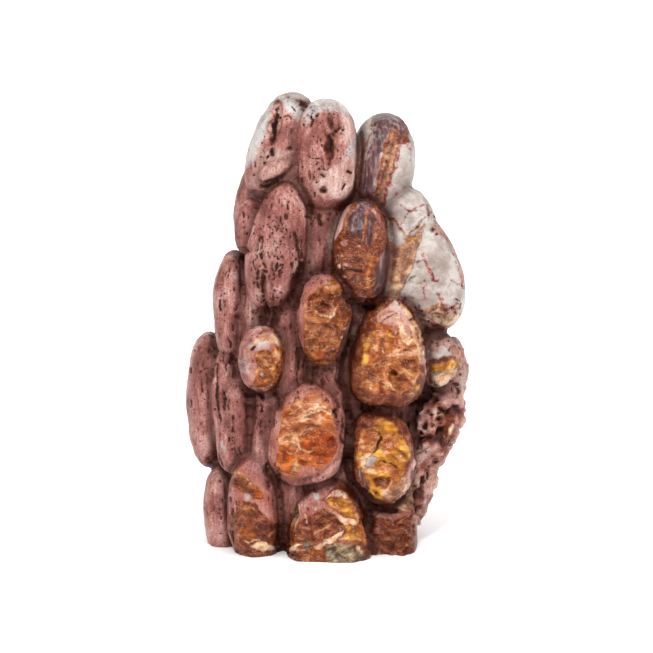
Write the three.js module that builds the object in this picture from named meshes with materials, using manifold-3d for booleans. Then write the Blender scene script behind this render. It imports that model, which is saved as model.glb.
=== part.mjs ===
// A tumbled and polished onyx specimen: egg-shaped lobes and upright columns that grew together
// as one stone, sawn flat underneath so that it stands.
// Millimetres, +Z up, the stone's best face looking along -Y.
// The origin is on the sawn face, under the middle of the stone's box.

import * as THREE from "three";
import { mergeVertices } from "three/addons/utils/BufferGeometryUtils.js";
import Module from "manifold-3d";

const wasm = await Module();
wasm.setup();

// Driving dimensions.
const ROUNDNESS = 2.4; // exponent of a lobe's section: 2 is an ellipse, higher is boxier
const LOBE_SIDES = 12; // facets round a lobe
const LOBE_RINGS = 8; // facets from a lobe's foot to its top
const HEART_SIDES = 12; // facets round the stone's heart
const HEART_RINGS = 9; // facets from the foot of the heart to its top
const SAW_BLOCK = 400; // side of the block of waste that the saw takes off underneath
const CENTRING = new THREE.Vector3(-1, 2, 0); // brings the middle of the box over the origin

// The heart of the stone, which carries every lobe: its middle and its half sizes.
const HEART = [
  { at: [-7, 4, 30], half: [45, 41, 51] },
  { at: [1, 5, 92], half: [55, 39, 66] },
  { at: [7, 6, 153], half: [40, 26, 49] },
];

// Each lobe: its middle, its half width, depth and height, its lean to the right in degrees,
// and its taper, which is positive where the lobe narrows upwards.
const LOBES = {
  crownLeft: { at: [-22, -4, 198], half: [16, 21, 29], lean: 7, taper: 0.1 },
  crownMiddle: { at: [1, -12, 197], half: [16, 19, 28], lean: 3, taper: 0.06 },
  bandedCrown: { at: [28, -2, 189], half: [15, 20, 28], lean: 6, taper: 0.04 },
  crescent: { at: [-24, -22, 191], half: [11, 6, 4], lean: -28 },
  leftShoulder: { at: [-35, 2, 170], half: [9, 17, 23], lean: 9, taper: 0.1 },
  smallOval: { at: [-37, -8, 162], half: [7, 12, 15], lean: 8 },
  tallLeft: { at: [-24, -24, 153], half: [14, 18, 33], lean: 9, taper: 0.15 },
  pinkDrape: { at: [-2, -22, 154], half: [13, 14, 32], lean: 3 },
  bandedMiddle: { at: [17, -26, 150], half: [14, 18, 25], lean: 2, taper: 0.08 },
  amberFold: { at: [35, -20, 150], half: [9, 14, 28], lean: 6 },
  whiteShoulder: { at: [43, -10, 165], half: [13, 17, 12] },
  whiteRight: { at: [51, -10, 139], half: [16, 22, 31], lean: -13, taper: 0.2 },
  leftUpper: { at: [-46, -2, 119], half: [10, 22, 28] },
  leftLower: { at: [-59, 10, 70], half: [11, 22, 34] },
  leftRibs: { at: [-49, -8, 71], half: [7, 16, 26] },
  innerLeft: { at: [-45, -18, 63], half: [9, 14, 24], lean: 5 },
  footLeft: { at: [-52, 0, 12], half: [7, 18, 25], lean: -3 },
  footLobe: { at: [-35, -24, 20], half: [13, 18, 30], lean: -3 },
  smallOrange: { at: [-32, -34, 99], half: [11, 13, 17], lean: 4 },
  pinkColumn: { at: [-18, -26, 92], half: [8, 12, 45], lean: 2 },
  orangeOval: { at: [-1, -38, 118], half: [13, 14, 22], taper: -0.08 },
  orangeHeart: { at: [-10, -34, 62], half: [18, 17, 26], lean: 4, taper: 0.12 },
  marbledOval: { at: [31, -29, 100], half: [18, 19, 27], lean: 5, taper: 0.15 },
  yellowOval: { at: [27, -33, 50], half: [15, 17, 24], lean: -3, taper: -0.06 },
  footAmber: { at: [4, -31, 11], half: [22, 23, 29], lean: -2, taper: 0.15 },
  footRed: { at: [31, -20, 5], half: [12, 20, 18] },
  rightSmall: { at: [57, -14, 95], half: [10, 15, 14] },
  rightEdge: { at: [63, -1, 81], half: [9, 16, 18], lean: 4 },
  porousUpper: { at: [52, -6, 60], half: [14, 19, 25], lean: 24 },
  porousLower: { at: [41, -6, 32], half: [12, 20, 29], lean: 14 },
  backCrownLeft: { at: [-15, 14, 183], half: [15, 18, 26], lean: 4 },
  backCrownRight: { at: [20, 14, 173], half: [16, 18, 26], lean: -5 },
  backUpperLeft: { at: [-28, 20, 154], half: [14, 18, 29], lean: 7 },
  backUpperMiddle: { at: [-3, 29, 142], half: [15, 17, 32], lean: 2 },
  backUpperRight: { at: [26, 23, 146], half: [16, 18, 30], lean: -4 },
  backShoulder: { at: [49, 12, 129], half: [14, 18, 25], lean: -12 },
  backMidLeft: { at: [-41, 22, 99], half: [14, 18, 29], lean: 5 },
  backMidInner: { at: [-15, 33, 88], half: [16, 17, 31] },
  backMidOuter: { at: [16, 32, 92], half: [17, 18, 29], lean: 4 },
  backMidRight: { at: [44, 20, 84], half: [14, 18, 29], lean: -3 },
  backLowLeft: { at: [-42, 18, 47], half: [14, 18, 28], lean: -4 },
  backLowInner: { at: [-17, 33, 36], half: [16, 17, 30], lean: 3 },
  backLowOuter: { at: [13, 33, 39], half: [16, 17, 30], lean: -2 },
  backLowRight: { at: [35, 20, 39], half: [13, 18, 28], lean: 8 },
  backFootLeft: { at: [-40, 18, 5], half: [14, 18, 23] },
  backFootInner: { at: [-11, 30, -2], half: [17, 17, 23], lean: -4 },
  backFootOuter: { at: [18, 26, 1], half: [16, 17, 24], lean: 3 },
};

// A closed geometry as a solid that can be joined and cut.
function solidFrom(geometry) {
  const bare = geometry.clone();
  bare.deleteAttribute("normal");
  bare.deleteAttribute("uv");
  const merged = mergeVertices(bare, 1e-4);
  const vertProperties = new Float32Array(merged.attributes.position.array);
  const triVerts = new Uint32Array(merged.index.array);
  return new wasm.Manifold(new wasm.Mesh({ numProp: 3, vertProperties, triVerts }));
}

// The solid as a geometry with flat facets.
function geometryFrom(solid) {
  const mesh = solid.getMesh();
  const geometry = new THREE.BufferGeometry();
  geometry.setAttribute("position", new THREE.BufferAttribute(mesh.vertProperties, 3));
  geometry.setIndex(new THREE.BufferAttribute(mesh.triVerts, 1));
  const faceted = geometry.toNonIndexed();
  faceted.computeVertexNormals();
  return faceted;
}

// An egg-shaped body: a ball drawn out to a boxy ellipse, narrowed upwards by the taper and leant.
function egg({ at, half, lean = 0, taper = 0 }, sides, rings) {
  const geometry = new THREE.SphereGeometry(1, sides, rings).rotateX(Math.PI / 2);
  const positions = geometry.attributes.position;
  const point = new THREE.Vector3();
  for (let i = 0; i < positions.count; i += 1) {
    point.fromBufferAttribute(positions, i);
    const powers = point.toArray().map((value) => Math.abs(value) ** ROUNDNESS);
    const sum = powers[0] + powers[1] + powers[2];
    point.divideScalar(sum ** (1 / ROUNDNESS));
    const width = 1 - taper * point.z;
    positions.setXYZ(i, point.x * half[0] * width, point.y * half[1] * width, point.z * half[2]);
  }
  return geometry.rotateY(THREE.MathUtils.degToRad(lean)).translate(...at);
}

const stoneFinish = new THREE.MeshStandardMaterial({
  name: "polished onyx",
  color: 0xb06f55,
  roughness: 0.4,
  metalness: 0,
});

function makeStone() {
  const parts = [
    ...HEART.map((body) => egg(body, HEART_SIDES, HEART_RINGS)),
    ...Object.values(LOBES).map((lobe) => egg(lobe, LOBE_SIDES, LOBE_RINGS)),
  ];
  const grown = parts.map(solidFrom).reduce((stone, part) => stone.add(part));
  const waste = new THREE.BoxGeometry(SAW_BLOCK, SAW_BLOCK, SAW_BLOCK).translate(0, 0, -SAW_BLOCK / 2);
  const sawn = grown.subtract(solidFrom(waste));
  const geometry = geometryFrom(sawn).translate(...CENTRING.toArray());
  const stone = new THREE.Mesh(geometry, stoneFinish);
  stone.name = "onyx";
  return stone;
}

const specimen = new THREE.Group();
specimen.add(makeStone());

export default specimen;
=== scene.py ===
import itertools
import math
import random
import bpy
import bmesh
import numpy as np
from mathutils import Matrix, Vector
from mathutils.kdtree import KDTree


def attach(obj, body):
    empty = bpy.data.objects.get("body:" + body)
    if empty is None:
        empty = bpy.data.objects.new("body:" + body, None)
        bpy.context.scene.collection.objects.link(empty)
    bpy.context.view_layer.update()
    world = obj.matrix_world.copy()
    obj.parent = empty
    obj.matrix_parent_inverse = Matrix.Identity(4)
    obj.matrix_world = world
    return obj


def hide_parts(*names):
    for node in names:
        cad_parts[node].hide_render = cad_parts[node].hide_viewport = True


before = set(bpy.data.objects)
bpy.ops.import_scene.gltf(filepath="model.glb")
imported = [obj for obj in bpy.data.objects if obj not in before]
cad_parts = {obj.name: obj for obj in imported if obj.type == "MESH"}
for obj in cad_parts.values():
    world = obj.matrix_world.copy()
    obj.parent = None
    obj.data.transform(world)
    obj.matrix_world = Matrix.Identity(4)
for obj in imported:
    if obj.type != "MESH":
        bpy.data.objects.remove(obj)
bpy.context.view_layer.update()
mm = 0.001  # a millimetre in metres
print("frame loaded")

# ---- camera: level with the lower half, looking slightly down
cameraSettings = {
    "target": (-1, 2, 109),  # mm, the point that the camera looks at
    "distance": 1800,  # mm
    "elevation": 10,  # degrees above the horizon
    "lens": 198.5,  # mm on a 36 mm sensor
}


def lookFrom(azimuth):  # right, up and forward, for a viewer at that angle round the stone
    a, e = math.radians(azimuth), math.radians(cameraSettings["elevation"])
    forward = np.array([-math.sin(a) * math.cos(e), math.cos(a) * math.cos(e), -math.sin(e)])
    right = np.array([math.cos(a), math.sin(a), 0])
    return right, np.cross(right, forward), forward


def addCamera(settings):
    forward = lookFrom(0)[2]
    place = np.array(settings["target"]) - forward * settings["distance"]
    camera = bpy.data.objects.new("camera", bpy.data.cameras.new("camera"))
    camera.data.lens = settings["lens"]
    camera.data.clip_start = 0.01
    camera.data.clip_end = 100
    camera.location = Vector(place) * mm
    camera.rotation_euler = Vector(forward).to_track_quat("-Z", "Y").to_euler()
    bpy.context.scene.collection.objects.link(camera)
    bpy.context.scene.camera = camera


addCamera(cameraSettings)
print("camera placed")

# ---- the stone's form
stoneSettings = {
    "roundness": 2.25,  # exponent of a lobe's section: 2 is an ellipse, higher is boxier
    "centring": (-1, 2, 0),  # mm, brings the middle of the stone's box over the origin
    "voxel": 0.72,  # mm, grid that grows the lobes together
    "seam": 0.4,  # mm, how softly two lobes run into each other
    "stain": 2.0,  # mm that a seam's sinking and its painted shade spread
    "arris": 0.5,  # mm, how round the edge of a window is
    "shelter": ((3.5, 0.65), (12, 0.35)),  # mm out from the skin where open room is felt for, and its share
    "smoothing": 0.25,  # share of the way that each point is drawn to the middle of its neighbours
    "triangles": 197000,  # left after thinning out
    "keeping": 0.05,  # how strongly thinning out spares the carved places
    "seed": 7,  # of the random draws that place the small pits
}

# Middle, half sizes (width, depth, height) in mm, lean to the right in degrees, taper upwards, skin.
lobes = {
    "heartLow": ((-7, 4, 30), (44, 40, 51), 0, 0, "pink"),
    "heartMiddle": ((1, 5, 92), (54, 38, 66), 0, 0, "pink"),
    "heartTop": ((7, 6, 153), (40, 26, 49), 0, 0, "pink"),
    "crownLeft": ((-19, -4, 197), (19.4, 21, 30), 8, 0.18, "pink"),
    "crownMiddle": ((-1.2, -14, 196), (17.4, 19, 29), 2, 0.06, "pink"),
    "bandedCrown": ((27, -3, 188), (17, 20, 28.5), 7, 0.08, "white"),
    "bandedShoulder": ((20, -6, 188), (8, 15, 22), 4, 0.1, "white"),
    "crescent": ((-24, -22, 191), (10, 6, 5), -28, 0, "pink"),
    "leftShoulder": ((-34, 5, 172), (10.5, 16, 22), 9, 0.1, "pink"),
    "smallOval": ((-36.5, -12, 161), (8.5, 13, 15), 8, 0, "pink"),
    "tallLeft": ((-23.5, -23, 153), (15, 18, 34), 9, 0.12, "pink"),
    "pinkDrape": ((-4, -16, 148), (16, 14, 31), 3, 0, "pink"),
    "bandedMiddle": ((17, -26, 150), (15, 18, 25.5), 2, 0.06, "jasper"),
    "amberFold": ((36, -16, 143), (13.5, 17, 27), 4, 0, "white"),
    "whiteShoulder": ((39.5, -9, 165), (14, 18, 17), -16, 0.1, "white"),
    "whiteRight": ((46.5, -10, 139), (19.6, 23, 33), -13, 0.2, "white"),
    "leftUpper": ((-45.5, -2, 119), (11, 22, 29), 0, 0, "pink"),
    "columnLeft": ((-35, -15, 112), (9, 15, 37), 3, 0, "pink"),
    "leftLower": ((-58, 9, 70), (12, 23, 35), 0, 0, "pink"),
    "leftRibs": ((-49, -7, 73), (9, 17, 27), 0, 0, "pink"),
    "innerLeft": ((-44, -17, 63), (10.5, 15, 26), 5, 0, "pink"),
    "footLeft": ((-51, -2, 15), (10, 18, 27), -2, 0, "pink"),
    "footLobe": ((-35, -24, 20), (14, 18, 31), -3, 0, "pink"),
    "smallOrange": ((-31.5, -33, 99), (12, 14, 17.5), 4, 0, "pink"),
    "pinkColumn": ((-18, -24, 92), (11, 14, 46), 2, 0, "pink"),
    "orangeOval": ((-1.5, -37, 119), (13.5, 15, 23), 0, -0.05, "pink"),
    "orangeHeart": ((-9.5, -33, 61.5), (20, 18, 27), 4, 0.1, "pink"),
    "marbledOval": ((30.5, -29, 101), (19, 20, 28.5), 4, 0.22, "jasper"),
    "yellowOval": ((27, -32, 50), (16, 18, 25), -3, -0.06, "jasper"),
    "footAmber": ((1, -31, 10), (21, 23, 30), -1, 0.2, "jasper"),
    "footRed": ((31, -18, 8), (15, 20, 21), 0, 0, "jasper"),
    "rightSmall": ((54, -14, 95), (12, 15, 15.5), 0, 0, "white"),
    "rightEdge": ((60.5, -2, 84), (10, 16, 21), 4, 0, "blush"),
    "porousUpper": ((52, -6, 60), (14, 19, 25), 24, 0, "porous"),
    "porousLower": ((41, -6, 32), (12, 20, 29), 14, 0, "porous"),
    "columnMiddle": ((2, -24, 82), (12, 14, 34), 0, 0, "pink"),
    "columnHidden": ((-27, -20, 110), (7, 11, 30), 2, 0, "pink"),
    "columnInner": ((-28, -22, 62), (11, 14, 36), 0, 0, "pink"),
    "apron": ((-6, -20, 34), (26, 16, 26), 0, 0, "pink"),
    "backCrownLeft": ((-15, 14, 183), (15, 18, 26), 4, 0, "pink"),
    "backCrownRight": ((20, 14, 173), (16, 18, 26), -5, 0, "white"),
    "backUpperLeft": ((-28, 20, 154), (14, 18, 29), 7, 0, "pink"),
    "backUpperMiddle": ((-3, 29, 142), (15, 17, 32), 2, 0, "pink"),
    "backUpperRight": ((26, 23, 146), (16, 18, 30), -4, 0, "white"),
    "backShoulder": ((49, 12, 129), (14, 18, 25), -12, 0, "white"),
    "backMidLeft": ((-41, 22, 99), (14, 18, 29), 5, 0, "pink"),
    "backMidInner": ((-15, 33, 88), (16, 17, 31), 0, 0, "pink"),
    "backMidOuter": ((16, 32, 92), (17, 18, 29), 4, 0, "jasper"),
    "backMidRight": ((44, 20, 84), (14, 18, 29), -3, 0, "pink"),
    "backLowLeft": ((-42, 18, 47), (14, 18, 28), -4, 0, "pink"),
    "backLowInner": ((-17, 33, 36), (16, 17, 30), 3, 0, "pink"),
    "backLowOuter": ((13, 33, 39), (16, 17, 30), -2, 0, "pink"),
    "backLowRight": ((35, 20, 39), (13, 18, 28), 8, 0, "porous"),
    "backFootLeft": ((-40, 18, 5), (14, 18, 23), 0, 0, "pink"),
    "backFootInner": ((-11, 30, -2), (17, 17, 23), -4, 0, "pink"),
    "backFootOuter": ((18, 26, 1), (16, 17, 24), 3, 0, "jasper"),
}

# Windows ground into lobes: degrees that each faces to the right and upwards, and mm from the lobe's middle.
windows = {
    "orangeOval": (0, 8, 11.6),
    "smallOrange": (-8, 6, 10.8),
    "marbledOval": (4, 10, 15.2),
    "orangeHeart": (-2, 4, 13.6),
    "yellowOval": (4, 2, 13.6),
    "footAmber": (-6, 14, 16.0),
    "footRed": (6, 0, 17.0),
    "bandedMiddle": (2, 2, 15.6),
    "footLobe": (0, 0, 16.0),
    "backMidOuter": (180, 6, 14.0),
    "backMidInner": (176, 6, 13.0),
    "backLowOuter": (183, 4, 13.0),
    "backUpperMiddle": (178, 4, 14.2),
    "backMidRight": (110, 6, 11.6),
    "backMidLeft": (228, 6, 13.0),
}

# Places on the front are mm across and down a sheet 326.5 mm square that fills the camera's view.
# Patches: lobe they stay on ("" for any), then for each: finish, mm sunk, mm of ridged relief, outline.
frontPatches = [
    # the three lobes of the crown
    ("crownLeft", ("frost", -0.2, 0.2, [(121, 86), (128, 57), (134, 46), (143, 41), (152, 43), (158, 50),
      (157, 58), (153, 65), (149, 63), (147, 57), (142, 55), (141, 52), (138, 52), (135, 56), (133, 68),
      (127, 80)])),
    ("crescent", ("blush", 0.9, 0.2, [(128, 91), (134, 84), (145, 79), (145, 82), (134, 90.5)])),
    ("crownMiddle", ("frost", -0.2, 0.2, [(153, 62), (152, 52), (158, 46), (166, 44), (173, 46), (179, 53),
      (180, 62), (176, 64), (173, 58), (168, 55), (158, 57)]), ("frost", 0, 0, [(182, 60), (183, 88),
      (175, 92), (161, 90), (172, 81), (177, 60)])),
    ("crownLeft", ("blush", 0, 0.1, [(124, 92), (129, 76), (133, 74), (146, 76), (147, 84), (140, 92),
      (130, 96)])),
    ("crownMiddle", ("blush", 0, 0.1, [(155, 93), (162, 84), (170, 82), (177, 76), (181, 80), (180, 92),
      (172, 100), (160, 98)]), ("blush", 0, 0.1, [(175, 72), (171.5, 68), (171, 58), (176, 58), (178, 66)])),
    ("bandedShoulder", ("blush", 0, 0.2, [(170, 102), (172, 70), (178, 66), (181, 74), (176, 102)])),
    ("bandedCrown", ("jasper", 0.2, 0.3, [(185, 108), (194, 62), (191, 57), (198, 55), (203, 60),
      (205.5, 72), (200, 72), (191, 108)])),
    ("", ("purple", 0.1, 0.15, [(178.5, 106), (179, 92), (186.2, 68), (185.5, 58), (190, 55), (198, 55),
      (202, 60), (203, 66), (200, 68), (198, 64.5), (194.5, 66), (185, 106)])),
    ("bandedCrown", ("tan", 0, 0.2, [(189.3, 104), (195.5, 69), (198.5, 68), (199, 73), (190.5, 104)])),
    # under the crown on the right
    ("", ("tan", 0.1, 0.1, [(193, 150), (195.6, 127.5), (193, 115), (193.5, 108.5), (196.9, 110),
      (202.5, 117.8), (207.5, 118.5), (212.8, 111.5), (206.9, 132.5), (200.6, 146.3), (198, 150)]),
     ("white", 0, 0.1, [(193.3, 109), (196.4, 110.5), (203, 120.5), (202, 123), (198.5, 123), (193.5, 119)]),
     ("cream", -0.1, 0.1, [(193.8, 148.5), (196, 138), (200.5, 136.5), (200.5, 143.5), (195.5, 150)]),
     ("gold", 0.2, 0.2, [(209, 118.8), (208.6, 123.5), (206.5, 124.5), (204.5, 122), (205.5, 118.8)])),
    ("whiteRight", ("tan", 0.2, 0.5, [(204, 153), (209, 155.5), (219, 151.5), (223, 152), (231, 157),
      (224, 164), (212, 166), (205, 161)]), ("porous", 0.2, 0.5, [(205, 155), (210, 157.5), (214, 157),
      (213, 161), (216, 164), (208, 164)]), ("porous", 0.2, 0.5, [(229, 157), (224, 161), (220.5, 158),
      (221, 153.5), (227, 154)]), ("blush", 0, 0.2, [(214, 99), (219, 103), (228, 118), (233.5, 140),
      (230, 142), (228.5, 130), (224.5, 121), (214, 114)]), ("porous", 0.8, 0.6, [(203, 155), (214, 157),
      (223, 164), (219, 169), (212, 169), (206, 163)]), ("grey", 1.4, 0.4, [(219, 160.5), (219, 157),
      (222.5, 155), (226, 156.5), (226, 160), (222, 162)])),
    # banded lobe in the middle of the upper row
    ("", ("blush", -0.3, 0.1, [(177, 101), (172, 104), (165, 115), (163.5, 121), (165.5, 126), (166.5, 121),
      (172.5, 112)])),
    ("bandedMiddle", ("purple", 0.2, 0.2, [(180, 101), (184.5, 103), (181, 120.5), (173.5, 113.5),
      (174, 109)]), ("purple", 0.2, 0.2, [(185, 106), (188, 109), (185, 124), (182.5, 122)]),
     ("amber", 0, 0.3, [(182.5, 146), (182, 141), (186, 124), (189.5, 128), (187, 131), (184.5, 146)]),
     ("purple", 0.2, 0.2, [(194.5, 120), (198, 126), (197, 139), (194, 145), (190, 148), (186, 148),
      (188, 134)])),
    ("", ("porous", 1.6, 0.8, [(173.5, 173), (175, 150), (180, 147.5), (186, 150), (176, 173)])),
    # oval with the brown window
    ("orangeOval", ("amber", 0, 0.2, [(166, 139), (172, 142), (177, 152), (177, 176), (168, 184), (160, 186),
      (154, 182), (151.5, 176), (152, 165), (157, 150)]), ("amber", 1, 0.7, [(161, 178.5), (156.5, 178),
      (153.5, 174), (152, 157), (155, 146.5), (162, 143.3), (166, 145.5), (168, 150), (170, 164),
      (168.5, 171)]), ("jasper", 1.6, 0.3, [(157, 154), (162, 150.5), (167, 153.5), (164, 157.3),
      (160, 157)]), ("orange", -0.2, 0.1, [(156, 179), (160, 174.8), (162, 175.5), (160.5, 179.5)]),
     ("jasper", 0, 0.2, [(172, 172), (172, 179), (164, 182), (160, 180), (162, 176)])),
    # small oval with the honey window
    ("smallOrange", ("frost", -0.2, 0.3, [(124, 173), (129, 170), (134, 171), (133, 174.5), (127, 175.5)]),
     ("frost", -0.2, 0.3, [(119, 181), (123, 180), (127, 184), (125, 187), (120, 186)]),
     ("salmon", 0.3, 0.4, [(131, 188), (127, 186), (128.5, 182), (127, 177), (131, 176), (133, 182)]),
     ("cream", -0.2, 0.3, [(126, 171), (133, 166.5), (138, 167.5), (141.5, 171), (143, 176), (140.5, 177),
      (138, 172), (134, 170), (130, 170.5), (127, 174)]), ("salmon", 0, 0.3, [(141, 184), (137, 182),
      (136, 177), (137, 173), (141, 174), (143, 179)]), ("amber", 0.3, 0.4, [(125, 194), (129, 186),
      (128, 176), (136, 176), (137, 181), (142, 181), (141, 188), (138, 194)]),
     ("amber", 0.5, 0.6, [(127.3, 177), (130, 174.8), (134, 174.5), (136, 176.5), (135, 180), (138, 184),
      (137, 187), (134.5, 187.5), (128.5, 184.5)]), ("blush", 1, 0.3, [(125, 174), (127, 175.5),
      (127.2, 179), (124.5, 180.5), (122, 179), (122, 176)]), ("white", -0.2, 0.2, [(131.7, 171.5),
      (129.3, 173.4), (128, 172.5), (130, 171)]), ("white", -0.4, 0.2, [(129.5, 186.8), (131, 186),
      (132, 187.3), (131.3, 188.5)])),
    # big oval on the right
    ("marbledOval", ("amber", 0, 0.3, [(193, 150), (184, 163), (180, 172), (180, 194), (186, 199),
      (193, 196), (188, 176), (188, 166)]), ("cream", 0, 0.2, [(195, 147), (199, 147), (209, 162),
      (213, 183), (210, 183), (206, 166)]), ("salmon", 0, 0.3, [(197, 157), (189, 165), (185, 176),
      (184, 190), (189, 198), (198, 200), (206, 196), (210, 186), (209, 174), (204, 163)]),
     ("blush", 0.2, 0.1, [(206.5, 168), (203, 170), (198, 163), (188.5, 162), (188.5, 157), (197, 151.5),
      (201, 154)]), ("salmon", 0.2, 0.2, [(187.5, 161), (198, 165), (203, 170.5), (207, 171), (207.5, 175),
      (203, 175), (194, 167), (188, 165)]), ("cream", 0.1, 0.1, [(197.5, 158), (200, 159), (206, 171),
      (204, 173), (201, 170)]), ("gold", 0.1, 0.2, [(193.5, 164.5), (195.5, 166), (196.5, 169), (195.5, 171),
      (193.5, 169)]), ("orange", 0.3, 0.2, [(196, 168), (198.5, 169.5), (199.5, 172), (198, 174),
      (195.8, 172.5)]), ("gold", 0.2, 0.4, [(182.3, 177), (181.7, 173), (187, 165), (187.3, 168)]),
     ("gold", -0.2, 0.3, [(181.5, 182), (181, 178), (183, 176.5), (184.5, 177), (184, 181)]),
     ("amber", 0.1, 0.2, [(190.5, 189), (189.6, 172), (191.5, 168), (194, 177)]),
     ("amber", 0.3, 0.3, [(186, 193), (183, 192), (181, 189), (181, 183), (184, 181.5), (187, 184),
      (188, 190)]), ("cream", -0.4, 0.2, [(192.5, 178.5), (195, 176.5), (201, 177), (208.5, 174),
      (209, 178)]), ("amber", 1.2, 0.4, [(194.7, 181.5), (196, 179.5), (208, 180), (209.3, 187), (207, 190),
      (203, 189)]), ("amber", 0.5, 0.6, [(193, 185), (196, 184), (207, 191.5), (209.5, 190), (210.5, 194),
      (208, 198), (199, 199), (195, 196.5)]), ("salmon", 0.5, 0.3, [(201, 190.5), (204, 191), (206, 194),
      (204, 195.5), (201, 194)]), ("salmon", -0.2, 0.3, [(184.5, 196.5), (182.5, 195), (183, 192),
      (185, 190.5), (187.5, 192), (187, 195)]), ("jasper", 0, 0.2, [(206, 200), (204, 206), (188, 206),
      (180, 201), (182, 198), (188, 196.5)])),
    # small lobe at the right edge
    ("rightSmall", ("blush", 0, 0.4, [(210, 162), (224, 164), (232, 172), (232, 178), (226, 178), (222, 172),
      (218, 176), (210, 172)]), ("jasper", 0.2, 0.2, [(228.5, 177.8), (228, 180.5), (212, 183), (212, 180)]),
     ("gold", 0.2, 0.2, [(212, 187), (212, 182.5), (224, 181.2), (228, 179), (229.5, 175.5), (231, 181),
      (228.5, 184)]), ("grey", 0, 0.3, [(212, 186), (228, 184.5), (229, 190), (224, 194), (219, 195),
      (213, 192)]), ("cream", 0.2, 0.5, [(229, 183.5), (227.5, 191), (220.5, 193.5), (218, 191.5),
      (217, 188)]), ("orange", 0, 0.2, [(212, 191.5), (220, 194), (219, 196.5), (213, 195.5)])),
    ("", ("blush", 0, 0.4, [(226, 164), (233, 170), (240, 182), (240, 196), (236, 204), (230, 204),
      (227.5, 196), (229.5, 187), (228.5, 178), (225, 171)])),
    ("rightEdge", ("frost", 0, 0.4, [(234, 197), (230, 194), (231.5, 186), (228.5, 176), (223, 166),
      (229, 166), (236, 172), (238, 186)])),
    ("rightSmall", ("frost", 0, 0.4, [(225, 168), (211, 167), (209, 163), (216, 161), (224, 163)])),
    ("", ("blush", -0.3, 0.4, [(219, 198.5), (224, 196), (229, 196), (233, 199), (231, 204), (227, 202),
      (222, 203)]), ("jasper", 0.3, 0.4, [(223, 223), (221, 221), (223, 206), (227.5, 205), (228, 211)]),
     ("blush", -0.4, 0.4, [(206, 235.5), (205, 232), (209, 227), (219, 221), (220.5, 224)])),
    # big orange window
    ("orangeHeart", ("salmon", 0.9, 0.6, [(156, 196), (160, 197), (165.5, 204), (168.5, 223), (163.5, 232.5),
      (150, 232.5), (147.5, 239), (140, 235), (138, 231.5), (140, 214), (141, 209), (145.5, 202)]),
     ("orange", 0.1, 0.6, [(145, 237), (142, 236.5), (138, 232), (139.5, 224), (143, 222), (147, 225),
      (148, 229)]), ("orange", 0.3, 0.6, [(148.5, 229.5), (150.5, 219), (153, 216.5), (161, 214.3),
      (167, 218), (168.5, 222), (167, 228), (163, 232.5), (158, 233.5), (151, 232)]),
     ("orange", 0, 0.3, [(141, 210), (141.5, 205), (145, 203.5), (146, 207), (143, 210)]),
     ("orange", 0, 0.3, [(161, 205), (165, 205), (166, 210), (164, 213), (161, 211)]),
     ("grey", 0.3, 0.2, [(147, 237), (146, 235.5), (146.3, 232), (147.6, 231.5)])),
    # yellow window
    ("yellowOval", ("gold", 0.9, 0.5, [(195, 250), (190, 250), (185, 247), (179, 236), (178, 230),
      (181, 217), (189, 209.3), (197, 211.5), (204.5, 224), (205, 228)]), ("salmon", 0.1, 0.5, [(180, 227),
      (179, 222), (181, 214.5), (188, 215), (189.5, 218), (188, 223), (185, 226)]),
     ("salmon", -0.2, 0.2, [(193, 229), (191, 226.5), (191, 217), (199, 218), (200.5, 221)]),
     ("cream", -0.2, 0.3, [(188.8, 229.5), (185, 235.3), (181.5, 234.5), (180, 232), (180, 229),
      (185, 226)]), ("white", -0.3, 0.2, [(188, 228.3), (188.3, 230.5), (184.5, 234), (183, 233),
      (183, 229.5), (185.5, 227.5)]), ("salmon", 0.5, 0.3, [(199.5, 238), (195.5, 238), (189, 234),
      (190, 231.7), (200, 234.3)]), ("purple", 0, 0.2, [(178, 235), (181, 235.5), (185, 245), (183, 246)]),
     ("amber", 0.8, 0.4, [(186, 239), (190, 237.8), (195, 239), (195.7, 243), (193, 245), (188, 244)]),
     ("salmon", -0.2, 0.2, [(199.5, 237), (197.5, 248), (195.5, 248), (196, 237.5)])),
    # broken foot in the middle
    ("footAmber", ("pink", 0.4, 0.9, [(170, 259), (158, 266), (150, 267), (147.5, 265), (149.5, 251),
      (153, 250), (162, 250)]), ("pink", 0, 0.3, [(172, 240), (160, 250), (146.5, 252), (144, 258),
      (144, 240)]), ("grey", 0.8, 0.2, [(147, 264.5), (146.3, 253), (148.3, 250.5), (149.3, 258)]),
     ("jasper", 0.4, 0.6, [(170, 259), (152, 271), (148, 268), (149, 261), (162, 253.5)]),
     ("amber", 0.2, 0.5, [(143, 256), (146, 262), (149, 268), (143, 270)]),
     ("gold", 0.7, 0.5, [(163.5, 249.5), (171, 248.7), (174, 251), (177.7, 258.3), (176, 259.3),
      (166, 253.5)]), ("cream", -0.3, 0.3, [(162, 249), (168.5, 244.8), (172.5, 246), (175, 249.5),
      (167, 248)]), ("cream", -0.1, 0.3, [(165, 254), (173, 259), (178.5, 260), (179, 262.3), (172, 263)]),
     ("jasper", 2.2, 0.5, [(156, 270), (156, 264.5), (160, 261.5), (169, 259), (171, 262), (169.5, 264)]),
     ("gold", 0.5, 0.5, [(181.7, 271), (171, 269), (174, 266), (172, 264), (175, 262), (178, 262.5),
      (180.3, 264.5)]), ("amber", 0.4, 0.4, [(157, 269), (155, 272), (143, 274), (143, 268)]),
     ("cream", -0.7, 0.4, [(172, 265), (171, 268), (164, 273), (158, 275), (157, 273.5)]),
     ("cream", -0.4, 0.2, [(152.5, 272), (145.5, 276), (143, 275), (146, 273)]),
     ("grey", 0.9, 0.2, [(156, 270.3), (156.5, 273), (154.5, 275), (152, 274.5), (151.5, 272), (153, 270)]),
     ("amber", 0.2, 0.4, [(164, 282), (148, 282), (148, 275.5), (163, 274)]), ("grey", 0.5, 0.6, [(182, 284),
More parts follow.
